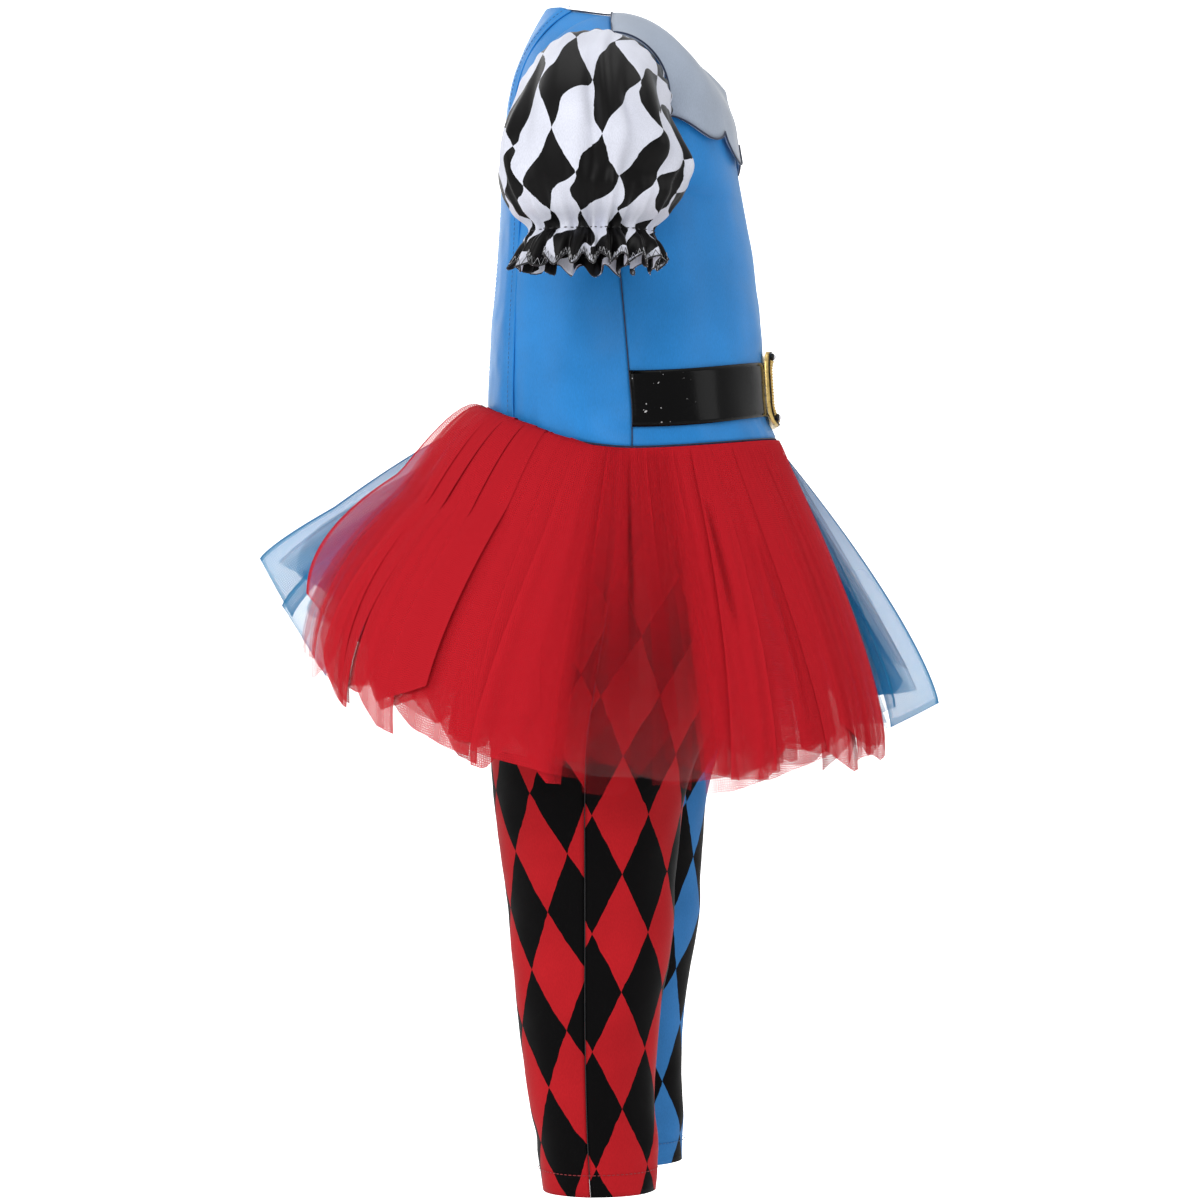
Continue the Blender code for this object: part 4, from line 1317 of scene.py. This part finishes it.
def make_skirt(red, blue, pale):
    """The tutu: strips of red net on the wearer's right, blue on the left, and a pale petticoat all round."""
    right_outer, right_under, left_outer, left_under, petticoat = SKIRT
    right_outer = right_outer._replace(back_bow=2.1, front_bow=1.4)
    right_under = right_under._replace(back_bow=2.1)
    left_outer = left_outer._replace(back_bow=1.25, front_bow=1.08)
    blue_inside = left_outer._replace(
        back_reach=left_outer.back_reach - 0.008, front_reach=left_outer.front_reach - 0.007
    )
    left_under = left_under._replace(back_bow=1.4, front_bow=1.1)
    full = Strips((0.036, 0.064), (1.05, 1.45), 0.0026, (0.98, 1.05), 0.017, (0.75, 1.15), -0.0008, 0.35, 0.0)
    inner = full._replace(width=(0.045, 0.075), push=-0.0036, length=(0.93, 1.03), slant=0.020)
    short = full._replace(width=(0.05, 0.08), length=(0.95, 1.05), slant=0.024)
    broad = Strips((0.075, 0.115), (1.0, 1.25), 0.0020, (0.95, 1.0), 0.010, (0.85, 1.1), -0.001, 0.15, 0.05)
    broad_inner = broad._replace(push=-0.0040, length=(0.86, 0.96))
    raised_back = left_outer._replace(hump=0.008)
    leaning_front = left_outer._replace(front_bow=1.3)
    red_vanes = (Vane(right_outer, 0.045, 0.03, 0.096, 0.086, 0.074, 0.112, 0.50, HUMP_END, 0.8),)
    outer_vanes = (
        Vane(raised_back, 0.050, 0.02, 0.126, 0.067, 0.111, 0.098, 0.80, 0.6, 0.6),
        Vane(leaning_front, 0.945, -0.02, 0.089, 0.138, 0.064, 0.152, 0.80, HUMP_END, 0.6),
    )
    inner_vanes = (
        Vane(raised_back, 0.060, 0.02, 0.115, 0.092, 0.093, 0.131, 0.60, 0.6, 0.6),
        Vane(leaning_front, 0.930, -0.03, 0.066, 0.140, 0.046, 0.150, 0.40, HUMP_END, 0.8),
    )
    sheets = (
        ("net_red_1", right_outer, 11, full, red, RED_FLATS[0], red_cover, red_vanes),
        ("net_red_2", right_outer, 12, inner, red, RED_FLATS[1], red_cover, ()),
        ("net_red_3", right_under, 13, short, red, RED_FLATS[2], red_cover, ()),
        ("net_blue_1", blue_inside, 21, broad, blue, BLUE_FLATS[0], blue_cover, outer_vanes),
        ("net_blue_2", blue_inside, 22, broad_inner, blue, BLUE_FLATS[1], blue_cover, inner_vanes),
        ("net_blue_3", left_under, 23, broad, blue, BLUE_FLATS[2], blue_cover, ()),
    )
    for name, layer, seed, style, net, flat, cover_at, vanes in sheets:
        piece = net_strips(name, layer, seed, style, net, cover_at, vanes)
        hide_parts(layer.name)
    piece = make_petticoat("net_pale", petticoat, pale)
    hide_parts(petticoat.name)


# Shader groups: effects that more than one material uses


def shader_group(name, inputs, outputs):
    """A new shader node group and its socket ends, or None for the ends when it is made already."""
    tree = bpy.data.node_groups.get(name)
    if tree:
        return tree, None, None
    tree = bpy.data.node_groups.new(name, "ShaderNodeTree")
    for label, kind in inputs:
        tree.interface.new_socket(name=label, in_out="INPUT", socket_type="NodeSocket" + kind)
    for label, kind in outputs:
        tree.interface.new_socket(name=label, in_out="OUTPUT", socket_type="NodeSocket" + kind)
    return tree, tree.nodes.new("NodeGroupInput"), tree.nodes.new("NodeGroupOutput")


class NodeHelper:
    """Short hands for adding nodes to a tree and joining them."""

    def __init__(self, tree):
        self.tree = tree

    def add(self, kind, settings=None, **inputs):
        node = self.tree.nodes.new(kind)
        for key, value in (settings or {}).items():
            setattr(node, key, value)
        for key, value in inputs.items():
            self.feed(node.inputs[key.replace("_", " ")], value)
        return node

    def feed(self, socket, value):
        if isinstance(value, bpy.types.NodeSocket):
            self.tree.links.new(value, socket)
        else:
            socket.default_value = value

    def math(self, operation, *values):
        node = self.tree.nodes.new("ShaderNodeMath")
        node.operation = operation
        for socket, value in zip(node.inputs, values):
            self.feed(socket, value)
        return node.outputs[0]

    def scaled(self, vector, factor):
        node = self.tree.nodes.new("ShaderNodeVectorMath")
        node.operation = "SCALE"
        self.feed(node.inputs[0], vector)
        self.feed(node.inputs["Scale"], factor)
        return node.outputs[0]

    def noise(self, vector, scale, detail=2.0, roughness=0.5):
        cloud = self.add("ShaderNodeTexNoise", Vector=vector, Scale=scale, Detail=detail, Roughness=roughness)
        return cloud.outputs[0]

    def blend(self, share, first, second, kind="FLOAT"):
        node = self.tree.nodes.new("ShaderNodeMix")
        node.data_type = kind
        ends = {"FLOAT": (2, 3), "RGBA": (6, 7)}[kind]
        self.feed(node.inputs[0], share)
        self.feed(node.inputs[ends[0]], first)
        self.feed(node.inputs[ends[1]], second)
        return node.outputs[0 if kind == "FLOAT" else 2]

    def ramp(self, value, low, high, start=0.0, end=1.0):
        node = self.tree.nodes.new("ShaderNodeMapRange")
        for socket, entry in zip(node.inputs, (value, low, high, start, end)):
            self.feed(socket, entry)
        return node.outputs[0]


def harlequin_group():
    """Diamonds from a pair of diamond coordinates: 0 and 1 by turns, with a wandering printed edge."""
    tree, given, result = shader_group(
        "harlequin", (("Diamonds", "Vector"), ("Wander", "Float")), (("Mask", "Float"),)
    )
    if result is None:
        return tree
    nodes = NodeHelper(tree)
    wander = nodes.add("ShaderNodeTexNoise", {"noise_dimensions": "3D"}, Vector=given.outputs["Diamonds"],
                       Scale=5.0)
    shift = nodes.math("MULTIPLY", nodes.math("SUBTRACT", wander.outputs[0], 0.5), given.outputs["Wander"])
    parts = nodes.add("ShaderNodeSeparateXYZ", Vector=given.outputs["Diamonds"])
    across = nodes.math("ADD", parts.outputs[0], shift)
    cells = nodes.math(
        "ADD",
        nodes.math("FLOOR", nodes.math("ADD", across, parts.outputs[1])),
        nodes.math("FLOOR", nodes.math("SUBTRACT", across, parts.outputs[1])),
    )
    nodes.feed(result.inputs["Mask"], nodes.math("FLOORED_MODULO", cells, 2.0))
    return tree


def weave_group():
    """Cloth seen close: thread lines as a height and a tone, and a slow change of tone over the piece."""
    tree, given, result = shader_group(
        "weave",
        (("Place", "Vector"), ("Pitch", "Float"), ("Length", "Float")),
        (("Height", "Float"), ("Tone", "Float"), ("Drift", "Float")),
    )
    if result is None:
        return tree
    nodes = NodeHelper(tree)
    fine = nodes.scaled(given.outputs["Place"], nodes.math("DIVIDE", 1.0, given.outputs["Pitch"]))
    stretch = nodes.add("ShaderNodeVectorMath", {"operation": "MULTIPLY"})
    nodes.feed(stretch.inputs[0], fine)
    share = nodes.math("DIVIDE", 1.0, given.outputs["Length"])
    long = nodes.add("ShaderNodeCombineXYZ", X=1.0, Y=1.0, Z=share)
    nodes.feed(stretch.inputs[1], long.outputs[0])
    threads = nodes.noise(stretch.outputs[0], 1.0, 1.0)
    broad = nodes.noise(given.outputs["Place"], 28.0, 2.0)
    nodes.feed(result.inputs["Height"], threads)
    nodes.feed(result.inputs["Tone"], nodes.ramp(threads, 0.3, 0.7, 0.92, 1.06))
    nodes.feed(result.inputs["Drift"], nodes.ramp(broad, 0.3, 0.7, 0.9, 1.08))
    return tree


def mesh_group():
    """Sheer net: 1 on its threads and 0 in its holes."""
    tree, given, result = shader_group(
        "net_mesh", (("Place", "Vector"), ("Hole", "Float")), (("Threads", "Float"),)
    )
    if result is None:
        return tree
    nodes = NodeHelper(tree)
    place = nodes.scaled(given.outputs["Place"], nodes.math("DIVIDE", 1.0, given.outputs["Hole"]))
    cells = nodes.add("ShaderNodeTexVoronoi", {"feature": "DISTANCE_TO_EDGE", "voronoi_dimensions": "2D"},
                      Vector=place, Scale=1.0, Randomness=0.6)
    nodes.feed(result.inputs["Threads"], nodes.ramp(cells.outputs["Distance"], 0.10, 0.24, 1.0, 0.0))
    return tree


def material(name, metallic=0.0, roughness=0.5, **sockets):
    """A material with one Principled shader; the sockets given here stay constant."""
    made = bpy.data.materials.get(name)
    if made:
        bpy.data.materials.remove(made)
    made = bpy.data.materials.new(name)
    made.use_nodes = True
    shader = next(node for node in made.node_tree.nodes if node.type == "BSDF_PRINCIPLED")
    shader.inputs["Metallic"].default_value = metallic
    shader.inputs["Roughness"].default_value = roughness
    for key, value in sockets.items():
        shader.inputs[key.replace("_", " ")].default_value = value
    return made, NodeHelper(made.node_tree), shader


def grouped(nodes, tree, **inputs):
    """A node that uses a shader group."""
    node = nodes.tree.nodes.new("ShaderNodeGroup")
    node.node_tree = tree
    for key, value in inputs.items():
        nodes.feed(node.inputs[key], value)
    return node


def bumped(nodes, shader, height, strength, distance):
    """Fine relief from a height."""
    bump = nodes.add("ShaderNodeBump", Height=height, Strength=strength, Distance=distance)
    nodes.feed(shader.inputs["Normal"], bump.outputs[0])


def object_place(nodes):
    """Object coordinates."""
    return nodes.add("ShaderNodeTexCoord").outputs["Object"]


def cloth_place(nodes):
    """The cloth's own measure, from its UV map."""
    return nodes.add("ShaderNodeUVMap", {"uv_map": UV_MAP}).outputs[0]


def times(nodes, colour, factor):
    """A colour scaled by a factor."""
    node = nodes.add("ShaderNodeVectorMath", {"operation": "SCALE"})
    nodes.feed(node.inputs[0], colour)
    nodes.feed(node.inputs["Scale"], factor)
    return node.outputs[0]


def plain_colour(nodes, colour):
    """A colour as a node's output."""
    node = nodes.add("ShaderNodeRGB")
    node.outputs[0].default_value = (*colour[:3], 1.0)
    return node.outputs[0]


def satin(name, colour, roughness=0.36, sheen=0.35, sheen_tint=(1, 1, 1, 1)):
    """Satin: fine thread lines, a soft drift of tone and a pale sheen towards its edges."""
    made, nodes, shader = material(name, roughness=roughness, Sheen_Weight=sheen, Sheen_Roughness=0.35,
                                 Sheen_Tint=sheen_tint, Specular_IOR_Level=0.15)
    weave = grouped(nodes, weave_group(), Place=object_place(nodes), Pitch=sizes().thread_pitch, Length=6.0)
    tone = nodes.math("MULTIPLY", weave.outputs["Tone"], weave.outputs["Drift"])
    nodes.feed(shader.inputs["Base Color"], times(nodes, plain_colour(nodes, colour), tone))
    nodes.feed(shader.inputs["Roughness"], nodes.math("MULTIPLY", weave.outputs["Drift"], roughness))
    bumped(nodes, shader, weave.outputs["Height"], 0.25, 0.0002)
    return made


def printed_satin(name, colour, other, roughness, sheen, wander, gloss=0.04):
    """Satin printed in diamonds: the first colour where the mask is 0, the other where it is 1."""
    made, nodes, shader = material(name, roughness=roughness, Sheen_Weight=sheen, Sheen_Roughness=0.3,
                                 Specular_IOR_Level=gloss)
    weave = grouped(nodes, weave_group(), Place=object_place(nodes), Pitch=sizes().thread_pitch, Length=5.0)
    mask = grouped(nodes, harlequin_group(), Diamonds=cloth_place(nodes), Wander=wander).outputs["Mask"]
    tone = nodes.math("MULTIPLY", weave.outputs["Tone"], weave.outputs["Drift"])
    both = nodes.blend(mask, plain_colour(nodes, colour), plain_colour(nodes, other), "RGBA")
    nodes.feed(shader.inputs["Base Color"], times(nodes, both, tone))
    nodes.feed(shader.inputs["Roughness"], nodes.math("MULTIPLY", weave.outputs["Drift"], roughness))
    bumped(nodes, shader, weave.outputs["Height"], 0.2, 0.0002)
    return made


def net_cloth(name, colour, alpha, dark=0.75):
    """Sheer net: seen through its holes, and darker in colour where it crowds, as painted shade of its crowded
    gathers.
    """
    made, nodes, shader = material(name, roughness=0.8, Specular_IOR_Level=0.05)
    threads = grouped(nodes, mesh_group(), Place=cloth_place(nodes), Hole=sizes().net_hole).outputs["Threads"]
    cover = nodes.add("ShaderNodeAttribute", {"attribute_name": COVER}).outputs["Fac"]
    share = nodes.math("MULTIPLY", cover, alpha)
    seen = nodes.math("MULTIPLY", share, nodes.ramp(threads, 0.0, 1.0, 0.74, 1.34))
    least, most = ALPHA_RANGE
    nodes.feed(shader.inputs["Alpha"], nodes.math("MINIMUM", nodes.math("MAXIMUM", seen, least), most))
    # Painted shade: the colour darkens where the cover is high, at the gathers, the strip edges and the dense
    # back.
    deep = nodes.ramp(cover, 0.8, 1.8, 1.0, dark)
    nodes.feed(shader.inputs["Base Color"], times(nodes, plain_colour(nodes, colour), deep))
    return made


def vinyl(name):
    """Glossy black vinyl with a faint grain and a few pale specks near its side ends."""
    made, nodes, shader = material(name, roughness=0.16, Specular_IOR_Level=0.12)
    place = object_place(nodes)
    grain = nodes.noise(place, 900.0, 2.0)
    specks = nodes.ramp(nodes.noise(place, 420.0, 1.0), 0.735, 0.75, 0.0, 1.0)
    depth = nodes.add("ShaderNodeSeparateXYZ", Vector=place).outputs[1]
    side = nodes.ramp(depth, -0.045, -0.012, 0.0, 1.0)
    shown = nodes.math("MULTIPLY", specks, side)
    colour = nodes.blend(shown, (0.0018, 0.0018, 0.002, 1), (0.6, 0.6, 0.6, 1), "RGBA")
    nodes.feed(shader.inputs["Base Color"], colour)
    nodes.feed(shader.inputs["Roughness"], nodes.ramp(grain, 0.3, 0.7, 0.12, 0.22))
    bumped(nodes, shader, grain, 0.12, 0.0002)
    return made


def hard(name, colour, metallic, roughness, wear=0.15):
    """Small hard parts: beads, rims and studs, a little uneven in tone and gloss."""
    made, nodes, shader = material(name, metallic=metallic, roughness=roughness, Specular_IOR_Level=0.6)
    change = nodes.noise(object_place(nodes), 350.0, 2.0)
    tone = nodes.ramp(change, 0.3, 0.7, 1 - wear, 1 + wear)
    nodes.feed(shader.inputs["Base Color"], times(nodes, plain_colour(nodes, colour), tone))
    nodes.feed(shader.inputs["Roughness"], nodes.ramp(change, 0.3, 0.7, roughness * 0.8, roughness * 1.3))
    return made


def thread(name, colour):
    """Sewing thread: matt, with a fine twist."""
    made, nodes, shader = material(name, roughness=0.6, Sheen_Weight=0.2)
    change = nodes.noise(object_place(nodes), 1500.0, 1.0)
    tone = nodes.ramp(change, 0.3, 0.7, 0.8, 1.2)
    nodes.feed(shader.inputs["Base Color"], times(nodes, plain_colour(nodes, colour), tone))
    bumped(nodes, shader, change, 0.3, 0.0002)
    return made


def waist_path():
    """The waist seam, all round."""
    turns = steps(0, 1, 220)
    waist = []
    for side, shares in ((-1, turns), (1, turns[-2:0:-1])):
        for share in shares:
            turn = math.pi * share
            front = turn > math.pi / 2
            panel = across_panel(math.pi - turn if front else turn)
            surface = front_surface if front else back_surface
            waist.append(lifted(surface, side * panel, 0.003, SEAM_LIFT))
    return loop(waist)


def across_panel(angle):
    """The place across a panel at an angle from its centre line."""
    if angle <= NECK_ANGLE:
        return NECK_SHARE * angle / NECK_ANGLE
    return mix(NECK_SHARE, 1.0, (angle - NECK_ANGLE) / (math.pi / 2 - NECK_ANGLE))


def make_stitching(blue_thread, navy, white_thread, black_thread, red_thread):
    """Seam lines, rows of stitches and the overlocked ruffle edges."""
    thick = sizes().thread_thickness
    stitch = sizes().stitch_length
    stitches = {"pitch": stitch * 1.35, "length": stitch, "thickness": thick * 1.6, "unevenness": 0.12}

    def seam(name, paths, width, colour=navy, sides=8):
        along_paths(name, paths, thread_tree(), colour, thickness=width * thick, sides=sides)

    collar_lift = COLLAR_LIFT + SATIN_WALL
    rises = steps(0.0, ARMPIT_RISE, 60)
    shoulder = steps(NECK_SHARE, 0.99, 30)
    seam("seam_waist", [waist_path()], 2.4)
    seam("seam_sides", [
        [mirrored_bodice(side, rise, True) + Vector((side * SEAM_LIFT, 0, 0)) for rise in rises]
        for side in (-1, 1)
    ], 1.8)
    seam("seam_shoulders", [
        [lifted(front_surface, side * across, 2.0, collar_lift) for across in shoulder] for side in (-1, 1)
    ], 2.2)
    back_neck = steps(-NECK_SHARE, NECK_SHARE, 80)
    neck = [lifted(back_surface, across, 2 - SURFACE_STEP, 2 * SEAM_LIFT) for across in back_neck]
    seam("edge_neck", [neck], 3.0)
    outline = collar_grid(COLLAR_ROWS, collar_lift + 0.0002)
    edge = [row[0] for row in reversed(outline)] + outline[0][1:-1] + [row[-1] for row in outline]
    seam("edge_collar", [edge], 3.2)

    rows = []
    for across in (-PLACKET_RIGHT_STEPS * PLACKET_STEP + 0.012, PLACKET_LEFT_STEPS * PLACKET_STEP - 0.012):
        heights = steps(0.03, 2 - SURFACE_STEP, 120)
        rows.append([lifted(back_surface, across, rise, collar_lift + 0.0004) for rise in heights])
    along_paths("stitches_placket", rows, row_tree(), blue_thread, seed=2, **stitches)

    for name, side, seed in SLEEVES:
        grid = sleeve_grid(side, seed)
        middle = sleeve_middle(side)
        places = sleeve_rows()
        nearest = min(range(len(places)), key=lambda i: abs(places[i] - ELASTIC_ROW))
        elastic = loop(outward(grid[nearest], middle, STITCH_LIFT))
        along_paths("stitches_elastic_" + name, [elastic], row_tree(), black_thread, seed=5,
                    pitch=stitch * 2.0, length=stitch * 1.1, thickness=thick * 1.8,
                    unevenness=0.2)
        seam("seam_sleeve_" + name, [loop(outward(grid[0], middle, 0.0004))], 2.0)
        seam("overlock_black_" + name, [overlock_path(grid, middle, 0)], 1.9, black_thread, 5)
        seam("overlock_white_" + name, [overlock_path(grid, middle, 1)], 1.4, white_thread, 5)
        seam("edge_ruffle_" + name, [loop(outward(grid[-1], middle, 0.0002))], 3.0, black_thread, 6)

    for name, side, colour in (("right", -1, red_thread), ("left", 1, blue_thread)):
        hems = []
        core = leg_core(side, HEM_STITCH_HEIGHT)
        for front in (True, False):
            grid = leg_grid(side, front)
            if front:
                outseam = [row[0] + Vector((side * 0.0002, 0, 0)) for row in grid[2:]]
            hem_row = min(range(len(grid)), key=lambda i: abs(grid[i][0].z - HEM_STITCH_HEIGHT))
            hems.append(outward(grid[hem_row], core, STITCH_LIFT))
        seam("seam_leg_" + name, [outseam], 1.4, black_thread, 6)
        along_paths("stitches_hem_" + name, hems, row_tree(), colour, seed=7, **stitches)


def overlock_path(grid, middle, shift):
    """A thread that runs in zigzags over the ruffle's edge."""
    count = len(grid[0])
    path = []
    for index in range(0, count, OVERLOCK_STEP):
        path.append(grid[-1][(index + shift) % count])
        path.append(grid[-OVERLOCK_RINGS][(index + shift + OVERLOCK_STEP // 2) % count])
    return loop(outward(path, middle, OVERLOCK_LIFT))


def area_light(name, place, size, power):
    """A rectangular lamp that faces the costume."""
    lamp = bpy.data.lights.new(name, "AREA")
    lamp.shape = "RECTANGLE"
    lamp.size, lamp.size_y = size
    lamp.energy = power
    light = bpy.data.objects.new(name, lamp)
    bpy.context.scene.collection.objects.link(light)
    light.location = place
    light.rotation_euler = (CAMERA_AIM - Vector(place)).to_track_quat("-Z", "Y").to_euler()


def make_stage():
    """White floor and backdrop in one sweep, soft studio light, and the camera at the photo's own angle."""
    scene = bpy.context.scene
    camera = bpy.data.cameras.new("camera")
    camera.sensor_width = SENSOR
    camera.lens = LENS
    view = bpy.data.objects.new("camera", camera)
    scene.collection.objects.link(view)
    view.location = CAMERA_PLACE
    view.rotation_euler = (CAMERA_AIM - CAMERA_PLACE).to_track_quat("-Z", "Y").to_euler()
    scene.camera = view
    scene.view_settings.view_transform = "Standard"

    world = bpy.data.worlds.new("studio")
    world.use_nodes = True
    scene.world = world
    background = next(node for node in world.node_tree.nodes if node.type == "BACKGROUND")
    background.inputs["Color"].default_value = (1.0, 1.0, 1.0, 1.0)
    background.inputs["Strength"].default_value = sizes().soft_light

    for name, place, size, power in LIGHTS:
        area_light(name, place, size, power)

    profile = [(FLOOR_NEAR, FLOOR_HEIGHT), (FLOOR_FAR, FLOOR_HEIGHT)]
    profile += [
        (FLOOR_FAR + SWEEP * math.sin(turn), FLOOR_HEIGHT + SWEEP * (1 - math.cos(turn)))
        for turn in steps(0, math.pi / 2, 16)[1:]
    ]
    profile.append((FLOOR_FAR + SWEEP, BACKDROP_TOP))
    grid = [[Vector((x, y, z)) for x, z in profile] for y in steps(-BACKDROP_HALF, BACKDROP_HALF, 8)]
    mesh = bpy.data.meshes.new("backdrop")
    across = len(profile)
    faces = [
        (r * across + c, r * across + c + 1, (r + 1) * across + c + 1, (r + 1) * across + c)
        for r in range(len(grid) - 1)
        for c in range(across - 1)
    ]
    mesh.from_pydata([point for row in grid for point in row], [], faces)
    mesh.shade_smooth()
    paper, nodes, shader = material("backdrop_paper", roughness=0.9, Specular_IOR_Level=0.1)
    change = nodes.noise(object_place(nodes), 3.0, 2.0)
    shade = nodes.ramp(change, 0.3, 0.7, 0.90, 0.94)
    nodes.feed(shader.inputs["Base Color"], times(nodes, plain_colour(nodes, (1, 1, 1)), shade))
    seen = nodes.add("ShaderNodeLightPath").outputs["Is Camera Ray"]
    shader.inputs["Emission Color"].default_value = (1, 1, 1, 1)
    nodes.feed(shader.inputs["Emission Strength"], seen)
    mesh.materials.append(paper)
    backdrop = bpy.data.objects.new("backdrop", mesh)
    scene.collection.objects.link(backdrop)


# The add-on: sizes and colours a user would change, one operator for each group of pieces, and a panel


def colour_property(name, description, value):
    """A colour setting."""
    return bpy.props.FloatVectorProperty(
        name=name, description=description, default=value, size=3, min=0.0, max=1.0, subtype="COLOR"
    )


def length_property(name, description, value):
    """A length setting, in metres."""
    return bpy.props.FloatProperty(name=name, description=description, default=value, min=0.0, unit="LENGTH",
                                   precision=5)


class BabyCostumeSizes(bpy.types.PropertyGroup):
    """Sizes and colours of the costume's looks."""

    bodice_colour: colour_property("Bodice", "Blue of the satin bodice", (0.026, 0.25, 0.66))
    # The collar is white satin; this grey-blue is its white darkened as painted shade for its front face.
    collar_white_painted_shade: colour_property("Collar", "White of the satin collar", (0.38, 0.44, 0.54))
    sleeve_white: colour_property("Sleeve white", "White of the sleeves' diamonds", (0.74, 0.76, 0.86))
    black_colour: colour_property("Black", "Black of the printed diamonds", (0.0035, 0.0032, 0.0035))
    red_knit: colour_property("Red leg", "Red of the right legging", (0.50, 0.014, 0.020))
    blue_knit: colour_property("Blue leg", "Blue of the left legging", (0.045, 0.22, 0.55))
    red_net: colour_property("Red net", "Red of the skirt's right half", (0.58, 0.014, 0.024))
    blue_net: colour_property("Blue net", "Blue of the skirt's left half", (0.04, 0.31, 0.62))
    pale_net: colour_property("Petticoat", "Grey of the petticoat", (0.30, 0.29, 0.29))
    bead_pitch: length_property("Bead pitch", "Distance between the buckle's beads", 0.0016)
    net_hole: length_property("Net hole", "Width of one hole in the net", 0.0011)
    thread_pitch: length_property("Thread pitch", "Distance between the satin's threads", 0.0003)
    thread_thickness: length_property("Thread", "Thickness of the sewing thread", 0.0003)
    stitch_length: length_property("Stitch", "Length of one stitch", 0.0018)
    soft_light: bpy.props.FloatProperty(name="Soft light", description="Strength of the studio's even light",
                                        default=0.55, min=0.0)


class COSTUME_OT_stage(bpy.types.Operator):
    """Camera, light and backdrop"""

    bl_idname = "costume.stage"
    bl_label = "Stage"

    def execute(self, context):
        make_stage()
        return {"FINISHED"}


class COSTUME_OT_bodice(bpy.types.Operator):
    """Satin bodice front, backs and placket"""

    bl_idname = "costume.bodice"
    bl_label = "Bodice"

    def execute(self, context):
        make_bodice(satin("blue_satin", sizes().bodice_colour, sheen_tint=(0.35, 0.65, 1.0, 1.0)))
        return {"FINISHED"}


class COSTUME_OT_collar(bpy.types.Operator):
    """White scalloped collar"""

    bl_idname = "costume.collar"
    bl_label = "Collar"

    def execute(self, context):
        # Painted shade: the collar's white is darkened to grey-blue in its colour.
        make_collar(satin("white_satin", sizes().collar_white_painted_shade, roughness=0.42))
        return {"FINISHED"}


class COSTUME_OT_sleeves(bpy.types.Operator):
    """Diamond puff sleeves with elastic and ruffle"""

    bl_idname = "costume.sleeves"
    bl_label = "Sleeves"

    def execute(self, context):
        make_sleeves(
            printed_satin("sleeve_satin", sizes().black_colour, sizes().sleeve_white, 0.38, 0.05, 0.10, 0.14)
        )
        return {"FINISHED"}


class COSTUME_OT_belt(bpy.types.Operator):
    """Vinyl belt and beaded buckle"""

    bl_idname = "costume.belt"
    bl_label = "Belt and buckle"

    def execute(self, context):
        make_belt(vinyl("black_vinyl"))
        make_buckle(
            hard("gold_beads", (0.78, 0.56, 0.20), 1.0, 0.28),
            hard("dark_rim", (0.02, 0.018, 0.015), 0.6, 0.4),
            hard("pearl", (0.85, 0.85, 0.88), 0.0, 0.2),
        )
        return {"FINISHED"}


class COSTUME_OT_skirt(bpy.types.Operator):
    """Red, blue and pale sheets of gathered net"""

    bl_idname = "costume.skirt"
    bl_label = "Skirt"

    def execute(self, context):
        make_skirt(
            net_cloth("red_tulle", sizes().red_net, RED_ALPHA),
            net_cloth("blue_tulle", sizes().blue_net, BLUE_ALPHA),
            net_cloth("pale_tulle", sizes().pale_net, PALE_ALPHA),
        )
        return {"FINISHED"}


class COSTUME_OT_leggings(bpy.types.Operator):
    """Diamond leggings"""

    bl_idname = "costume.leggings"
    bl_label = "Leggings"

    def execute(self, context):
        black = sizes().black_colour
        make_leggings(
            {
                -1: printed_satin("red_knit", sizes().red_knit, black, 0.45, 0.02, 0.07),
                1: printed_satin("blue_knit", sizes().blue_knit, black, 0.45, 0.02, 0.07),
            }
        )
        return {"FINISHED"}


class COSTUME_OT_stitching(bpy.types.Operator):
    """Seam lines, stitches and overlocked edges"""

    bl_idname = "costume.stitching"
    bl_label = "Stitching"

    def execute(self, context):
        make_stitching(
            thread("thread_blue", (0.03, 0.16, 0.40)),
            thread("thread_navy", (0.008, 0.02, 0.06)),
            thread("thread_white", (0.75, 0.76, 0.80)),
            thread("thread_black", (0.01, 0.01, 0.012)),
            thread("thread_red", (0.30, 0.01, 0.015)),
        )
        return {"FINISHED"}


OPERATORS = (
    COSTUME_OT_stage,
    COSTUME_OT_bodice,
    COSTUME_OT_collar,
    COSTUME_OT_sleeves,
    COSTUME_OT_belt,
    COSTUME_OT_skirt,
    COSTUME_OT_leggings,
    COSTUME_OT_stitching,
)


class COSTUME_PT_looks(bpy.types.Panel):
    """The costume's sizes, colours and pieces"""

    bl_idname = "COSTUME_PT_looks"
    bl_label = "Baby costume"
    bl_space_type = "VIEW_3D"
    bl_region_type = "UI"
    bl_category = "Costume"

    def draw(self, context):
        for key in BabyCostumeSizes.__annotations__:
            self.layout.prop(context.scene.baby_costume, key)
        for operator in OPERATORS:
            self.layout.operator(operator.bl_idname)


def register():
    """Adds the settings, operators and panel."""
    for entry in (BabyCostumeSizes, *OPERATORS, COSTUME_PT_looks):
        bpy.utils.register_class(entry)
    bpy.types.Scene.baby_costume = bpy.props.PointerProperty(type=BabyCostumeSizes)


def unregister():
    """Takes them away again."""
    del bpy.types.Scene.baby_costume
    for entry in reversed((BabyCostumeSizes, *OPERATORS, COSTUME_PT_looks)):
        bpy.utils.unregister_class(entry)


def main():
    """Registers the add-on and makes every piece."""
    register()
    for operator in OPERATORS:
        group, name = operator.bl_idname.split(".")
        getattr(getattr(bpy.ops, group), name)()


if __name__ == "__main__":
    main()
